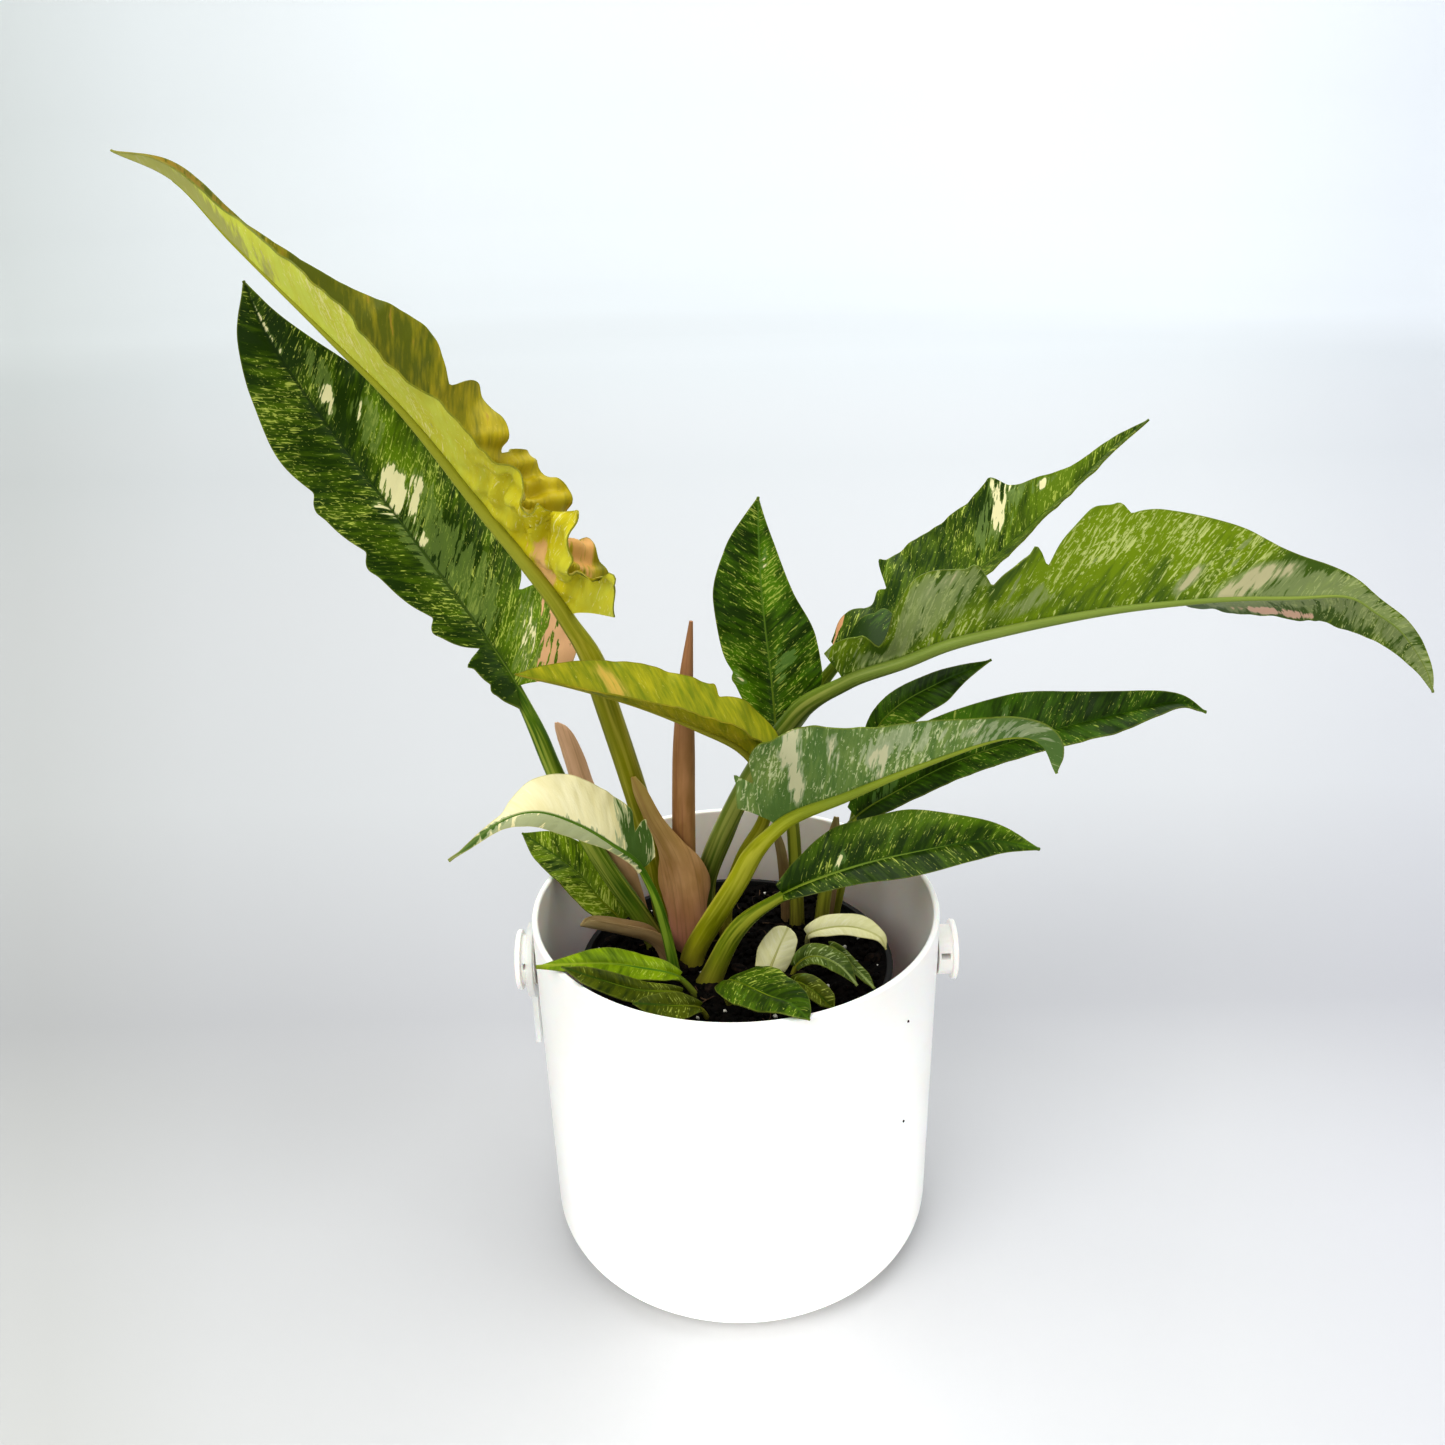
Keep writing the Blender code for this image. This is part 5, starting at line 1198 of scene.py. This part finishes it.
# A patch is (along, across, reach along, reach across, strength). "tone" is the leaf's own, from deep to
# bright green, and "both" holds what its two faces share.
LOOKS = {
    "leaf_left": dict(
        top=dict(bright="66820A", grey="6E8240", flecks=0.75, streaks=0.25, vein="22380A", rib_mm=0.9,
                 blush="DDB188", mottle=0.9),
        stalk=dict(deep="3E5E0A", bright="6A8410", stripe="A0A84A", rib="2E4A0C"), tone=0.17,
        # Its grey patches on the right half are partly grey-green tissue and partly a painted sheen.
        grey=[(0.3, -0.25, 0.08, 0.35), (0.2, -0.3, 0.06, 0.35), (0.42, -0.3, 0.06, 0.35),
              (0.62, -0.5, 0.04, 0.3), (0.78, -0.5, 0.04, 0.3), (0.36, 0.12, 0.05, 0.12)],
        cream=[(0.49, -0.2, 0.045, 0.2, 1.1), (0.46, -0.42, 0.03, 0.25, 0.7), (0.72, -0.25, 0.03, 0.2, 0.75),
               (0.9, -0.12, 0.07, 0.12, 0.8), (0.38, -0.08, 0.03, 0.12, 0.7), (0.66, -0.5, 0.02, 0.2, 0.7),
               (0.47, 0.15, 0.03, 0.15, 0.7), (0.08, -0.5, 0.08, 0.5, 0.46)],
        bright=[(0.07, -0.6, 0.1, 0.7), (0.57, -0.6, 0.12, 0.35, 0.8), (0.35, 0.3, 0.12, 0.4, 0.3)],
        blush=[(0.0, -1.0, 0.11, 0.7, 2.2)]),
    "leaf_tall_left": dict(
        both=dict(soft=0.25, ragged=2.0),
        top=dict(deep="5C6202", bright="B0A018", grey="9A7E2E", fleck="B4A246", vein="8C8C2A",
                 flecks=0.4, streaks=0.5, mottle=0.7, blush="CFA262"),
        under=dict(deep="D0D65E", bright="C8BC1E", grey="A09E6C", fleck="E2DEA0", vein="8A8A1A",
                   flecks=0.65, streaks=0.3, mottle=0.5, blush="DCB47C"),
        stalk=dict(deep="74760A", bright="96940E", stripe="AAA23A", rib="A4A63C"), tone=0.15,
        bright=[(0.08, 0.0, 0.22, 2.0)], blush=[(0.1, 0.15, 0.05, 0.25), (0.08, -0.8, 0.05, 0.4)],
        grey=[(1.0, 0.0, 0.3, 2.0, 1.6)], crinkle=(2.2, 0.0, 0.34)),
    "leaf_olive": dict(
        both=dict(cream="C6A850", blush="7E981E", margin="7A6A1C", flecks=0.3, streaks=0.4, mottle=1.1,
                  soft=0.45, ragged=2.0),
        top=dict(deep="78820C", bright="A8A21C", grey="B2A24C", fleck="BCB45C", vein="868216"),
        under=dict(deep="767E08", bright="A69C14", grey="B0A446", fleck="BEB25C", vein="7E7A08"),
        stalk=dict(deep="6A6E04", bright="8F8C14", stripe="A8A23E", rib="9A9430"), tone=0.4,
        cream=[(0.66, -0.3, 0.06, 0.6, 0.9)], blush=[(1.0, 0.0, 0.14, 2.0, 0.9)]),
    "leaf_centre": dict(
        top=dict(flecks=0.75, streaks=0.2, vein="6F8F3A"), stalk=dict(bright="8A8A2C"),
        tone=0.32, bright=[(0.7, -0.3, 0.15, 0.3), (0.2, 0.9, 0.15, 0.3)],
        cream=[(0.28, 0.85, 0.04, 0.2, 0.5), (0.74, -0.25, 0.04, 0.3, 0.6)],
        grey=[(0.3, -0.3, 0.1, 0.3, 0.7)]),
    "leaf_back_right": dict(
        top=dict(bright="667E10", grey="74884A", flecks=0.7, streaks=0.3),
        under=dict(deep="6F8340", bright="8A9A4A"), tone=0.35,
        cream=[(0.575, 0.65, 0.03, 0.42), (0.7, 0.75, 0.03, 0.2, 0.8)], blush=[(0.03, 0.9, 0.025, 0.25)],
        grey=[(0.61, 0.7, 0.045, 0.45), (0.5, 0.5, 0.03, 0.3)], bright=[(0.72, 0.6, 0.1, 0.8)]),
    "leaf_long_right": dict(
        under=dict(deep="4A621A", bright="7A900E", grey="929C6C", fleck="C8CE88", vein="7C8A2C",
                   cream="BDB690", blush="DAB59C", flecks=0.62, streaks=0.5, mottle=1.4, soft=0.2,
                   ragged=2.0),
        stalk=dict(deep="4E6610", bright="82903A", stripe="A2A65A", rib="8A9A4A"), tone=0.1,
        # Its bright patches are painted light: a yellow-green glow where light shines through the leaf from
        # behind.
        bright=[(0.4, -0.65, 0.11, 0.7), (0.34, -0.9, 0.06, 0.5), (0.52, -0.8, 0.08, 0.4, 0.6)],
        cream=[(0.61, -0.25, 0.035, 0.6, 1.1), (0.18, -0.8, 0.02, 0.2, 0.8), (0.52, -0.25, 0.015, 0.2, 0.8)],
        blush=[(0.68, 0.75, 0.06, 0.2, 1.2)],
        grey=[(0.17, -0.65, 0.05, 0.35), (0.7, -0.2, 0.12, 0.9), (0.1, -0.4, 0.08, 0.6, 0.7),
              (0.95, 0.0, 0.2, 2.0, 0.9), (0.6, 0.5, 0.06, 0.5), (0.28, -0.3, 0.08, 0.3, 0.7)]),
    "leaf_grey_green": dict(
        under=dict(deep="5E7A3E", bright="869A54", grey="A8B08E", fleck="CED2A6", vein="82903A",
                   cream="C9C6A2", flecks=0.75, streaks=0.45, soft=0.15),
        stalk=dict(deep="868A0E", bright="B4B418", stripe="C2C04A", rib="7E8E36"), tone=0.33,
        cream=[(0.42, -0.3, 0.035, 0.35, 0.8), (0.22, -0.85, 0.04, 0.4, 0.8), (0.72, -0.6, 0.04, 0.3, 0.7),
               (0.15, -0.3, 0.03, 0.3, 0.7), (0.32, -0.6, 0.02, 0.3, 0.7)],
        grey=[(0.5, -0.6, 0.12, 0.4), (0.8, -0.3, 0.1, 0.8, 0.8)]),
    "leaf_right": dict(
        top=dict(flecks=0.5, streaks=0.1, bright="567E0C"), stalk=dict(bright="8A8A2C"),
        tone=0.25, cream=[(0.47, 0.6, 0.03, 0.2, 0.6)], grey=[(0.12, 0.3, 0.05, 0.4)],
        bright=[(0.3, 0.8, 0.2, 0.5)]),
    "leaf_low_right": dict(
        top=dict(bright="5E7C08", flecks=0.62, streaks=0.2), tone=0.18,
        bright=[(0.6, 0.9, 0.4, 0.3), (0.95, 0.0, 0.08, 1.0)], cream=[(0.26, 0.25, 0.03, 0.25, 0.6)]),
    "leaf_small_back": dict(top=dict(flecks=0.4, streaks=0.1), tone=0.3),
    "leaf_cream": dict(
        top=dict(deep="E2D8A6", bright="ECE4BC", grey="8C9A70", fleck="F2ECCB", vein="6E8440",
                 cream="46661C", flecks=0.2, streaks=-0.6, margin="B7B276", ragged=2.5),
        under=dict(deep="6F8350", bright="8A9A68", grey="7C8C60", fleck="C8CCA4", vein="5E7A2C",
                   cream="46661C"),
        stalk=dict(deep="3E6A10", bright="6C9018", stripe="A8C048", foot="5E8A18", rib="4E701C"), tone=0.5,
        cream=[(0.08, -0.4, 0.15, 1.3), (0.93, 0.0, 0.2, 2.0, 1.4)], grey=[(0.45, 0.6, 0.4, 0.6, 1.5)]),
}
SMALL_SKINS = {
    "speckled": dict(top=dict(flecks=0.8, bright="7A9210"), tone=0.5),
    "bright": dict(top=dict(deep="5A7402", bright="94AC10", fleck="C2CC6A", vein="A0AC3A", flecks=0.4),
                   stalk=dict(deep="4A7A0E", bright="789A1E"), tone=0.5),
    "glossy": dict(top=dict(bright="5C7A08", flecks=0.5, vein="4E6E18"), tone=0.25),
    "dark": dict(top=dict(deep="243400", bright="606A08", flecks=0.4), tone=0.6),
    "cream": dict(top=dict(deep="E2DEA6", bright="F0ECC2", grey="E0DCB0", fleck="F2EED0", vein="C9C680",
                           margin="B9B06A"),
                  under=dict(deep="D8D49A", bright="E8E4B8"),
                  stalk=dict(deep="B4B46A", bright="CFCB8C", stripe="DAD69A", foot="C6C284"), tone=0.5),
    "pale": dict(top=dict(deep="2E4410", bright="6C7E30", fleck="B8C48A", vein="A4B070"),
                 tone=0.4),
}
SMALL_LOOKS = {
    "leaf_pot_left": "speckled", "leaf_front_bright": "bright", "leaf_front_olive": "dark",
    "leaf_front_dark": "dark", "leaf_over_rim": "glossy", "leaf_cream_stub": "cream",
    "leaf_cream_right": "cream", "leaf_pale_arched": "pale", "leaf_pale_narrow": "pale",
    "leaf_small_dark": "dark",
}


def painted(look, places, rows):
    """The cream, grey and tone of every point, and its blush, from the look's patches."""
    paint = np.zeros((len(places), 2 * rows + 1, 6))
    across = np.linspace(-1, 1, 2 * rows + 1)[None]
    paint[:, :, 2] = look["tone"]
    for channel, key in ((0, "cream"), (1, "grey"), (2, "bright"), (3, "blush")):
        for u, v, reach, width, *strength in look.get(key, []):
            slant = 0.12 * (np.abs(across) - abs(v))
            away = ((places[:, None] - u - slant) / reach) ** 2 + ((across - v) / width) ** 2
            paint[:, :, channel] += (strength or [1.0])[0] * np.exp(-away)
    return paint[:, :, :3], paint[:, :, 3:]


# %% [markdown]
# ## Making the leaves
#
# On the plant a leaf is one thing, and the CAD part has it as one solid. Here its blade and its stem are
# two closed pieces that stand for that solid together. The stem runs from the soil to the blade and on
# under it as the midrib, thinner and thinner, so the joint looks grown.

# %% Leaf builder
RIB_SHARE = 0.9
STEM_STEP = 2.0
SLIP_LENGTH = 26.0
FOOT_SWELL = 0.25
FOOT_SWELL_LENGTH = 7


def stem_line(leaf):
    """The stem's points and radii: the stalk, which slips under the blade and thins to its midrib."""
    fine, steps, start = measured_route(leaf)
    length = steps[-1] - start
    run = np.arange(0, start + RIB_SHARE * length, STEM_STEP)
    share = np.clip((run - start) / length, 0, 1)
    up = blade_frame(leaf, share)[3]
    foot, top = leaf["radius"]
    rib = 0.68 * top * (1 - share) ** 1.5 + 0.2
    stalk = foot + (top - foot) * np.clip(run / start, 0, 1)
    slip = np.clip((run - start + SLIP_LENGTH) / SLIP_LENGTH, 0, 1)
    slip = slip * slip * (3 - 2 * slip)
    points = sample(fine, steps, run) - up * (rib * slip)[:, None]
    radii = stalk + (rib - stalk) * slip
    return points, radii * (1 + FOOT_SWELL * np.exp(-run / FOOT_SWELL_LENGTH))


def blade_grid(name, leaf, look, size, seed, depth=1.0):
    """The blade's middle face: the plain surface, its relief, and its paint if it has a tone."""
    along, rows = size
    places = np.linspace(0, 1, along)
    points, out_mm, rim_mm, length = blade_points(leaf, places, rows)
    rise, along_mm = relief(look, places, out_mm, length, seed)
    points = points + surface_normals(points) * (depth * rise)[:, :, None]
    where = np.stack([along_mm, out_mm, rim_mm], axis=2)
    return laid_grid(name, points, where, *(painted(look, places, rows) if "tone" in look else ()))


def make_leaf(name, leaf, look, skins, size, seed):
    upper_skin, under_skin, stem_skin = skins
    blade = blade_grid(name + "_blade", leaf, look, size, seed)
    blade.data.materials.append(upper_skin)
    blade.data.materials.append(under_skin)
    apply_modifier(blade, "SOLIDIFY", thickness=BLADE_THICK * MM, offset=0, material_offset=1)
    hand_over(blade, [name])
    stem = rolled_stem(name + "_stem", *stem_line(leaf))
    hand_over(stem, [name], stem_skin, angle=60)


def skins_for(name, look, seed, joint_mm=1000.0):
    """The three skins of a leaf: what all leaves share, and what this one has of its own."""
    both, top, under, stalk = (look.get(part, {}) for part in ("both", "top", "under", "stalk"))
    return (leaf_skin(name + "_upper_skin", **{**TOP, **both, **top, "seed": seed}),
            leaf_skin(name + "_under_skin", **{**UNDER, **both, **under, "seed": seed + 0.5}),
            stalk_skin(name + "_stalk_skin", **{**STALK, **stalk, "joint_mm": joint_mm}))


# %% Large leaves
LARGE_GRID = (240, 22)
for seed, (name, leaf) in enumerate(LARGE_LEAVES.items()):
    skins = skins_for(name, LOOKS[name], float(seed), float(measured_route(leaf)[2]))
    make_leaf(name, leaf, LOOKS[name], skins, LARGE_GRID, seed)

# %% Small leaves
SMALL_GRID = (110, 14)
SMALL_SEED = 50
SMALL_SKIN_SEED = 20.0
small_skins = {kind: skins_for(kind, look, SMALL_SKIN_SEED) for kind, look in SMALL_SKINS.items()}
for seed, (name, leaf) in enumerate(SMALL_LEAVES.items(), SMALL_SEED):
    kind = SMALL_LOOKS[name]
    make_leaf(name, leaf, SMALL_SKINS[kind], small_skins[kind], SMALL_GRID, seed)

# %% [markdown]
# ## Sheaths and the new leaf
#
# Each new leaf of a philodendron grows out of a papery scale that wrapped it, and the scale then dries
# from pink to brown. A scale is a blade with no stalk, curled into a channel, so the same grid makes it.
# The newest leaf is still rolled up: a spike that ends in a fine point beside the tip of its own scale.

# %% Papery sheath
def sheath_skin(name, pale, deep, line, foot, tip, tip_mm):
    """Papery scale: fine lengthwise nerves, pinker at its foot and greener towards its tip."""
    material, tree, shader = new_material(name, 0.55, IOR=1.4)
    place = kept(tree, "place_mm")
    nerve, cloud, band = drawn_out_noises(tree, place, (
        (60.0, 1.1, math.inf, 3.0), (18.0, 5.0, math.inf, 3.0), (90.0, 2.6, math.inf, 3.0)))
    along = add_node(tree, "SeparateXYZ", {0: place}).outputs["X"]
    face = layered(tree, blend(tree, ranged(tree, cloud, 0.3, 0.7), pale, deep), (
        (ranged(tree, band, 0.45, 0.7, high=0.5), deep),
        (ranged(tree, along, 40.0, 14.0, high=0.7), foot),
        (ranged(tree, along, 0.55 * tip_mm, tip_mm, high=0.7), tip),
        (ranged(tree, nerve, 0.52, 0.64, high=0.4), line)))
    give_surface(tree, shader, face, nerve, 0.5, 0.2)
    return material


wide_scale = sheath_skin("pink_papery_scale", "D8AC80", "B48A54", "96703E", "CE8E7C", "A09040", 85.0)
tall_scale = sheath_skin("silky_pink_scale", "DAB494", "C09A74", "A07E58", "B89468", "CDAA8A", 110.0)
brown_scale = sheath_skin("brown_papery_scale", "B4A07A", "8C7446", "6E5630", "A08058", "9A8C5A", 60.0)
rolled_leaf = sheath_skin("rolled_new_leaf", "BC8E62", "98703F", "84543A", "AA7A56", "A87A58", 150.0)

# %% Sheaths
SHEATH_GRID = (90, 14)
SHEATH_THICK = 0.7
SHEATH_SEED = 90
SHEATH_SKINS = {"sheath_wide": wide_scale, "sheath_tall": tall_scale}
for seed, (name, sheath) in enumerate(SHEATHS.items(), SHEATH_SEED):
    piece = blade_grid(name + "_scale", sheath, dict(swell=0.15, margin=0.5), SHEATH_GRID, seed, depth=0.5)
    apply_modifier(piece, "SOLIDIFY", thickness=SHEATH_THICK * MM, offset=0)
    hand_over(piece, [name], SHEATH_SKINS.get(name, brown_scale))

# %% New leaf
SPIKE_STEP = 1.5
NERVE_DEGREES = 14  # The skin reads this much of a turn as one millimetre across.
line = smooth_route(SPIKE_ROUTE, SPIKE_STEP)
radii = curve_through(SPIKE_RADII, np.linspace(0, 1, len(line)))
spike = rolled_stem("new_leaf_rolled", line, radii, sides=28)
kept_places = spike.data.attributes["place_mm"].data
places = np.zeros(len(kept_places) * 3)
kept_places.foreach_get("vector", places)
x, y, along = places.reshape(-1, 3).T
turned = np.stack([along, np.degrees(np.arctan2(y, x)) / NERVE_DEGREES, along], axis=1)
kept_places.foreach_set("vector", turned.astype(np.float32).ravel())
hand_over(spike, ["new_leaf_spike"], rolled_leaf, angle=60)
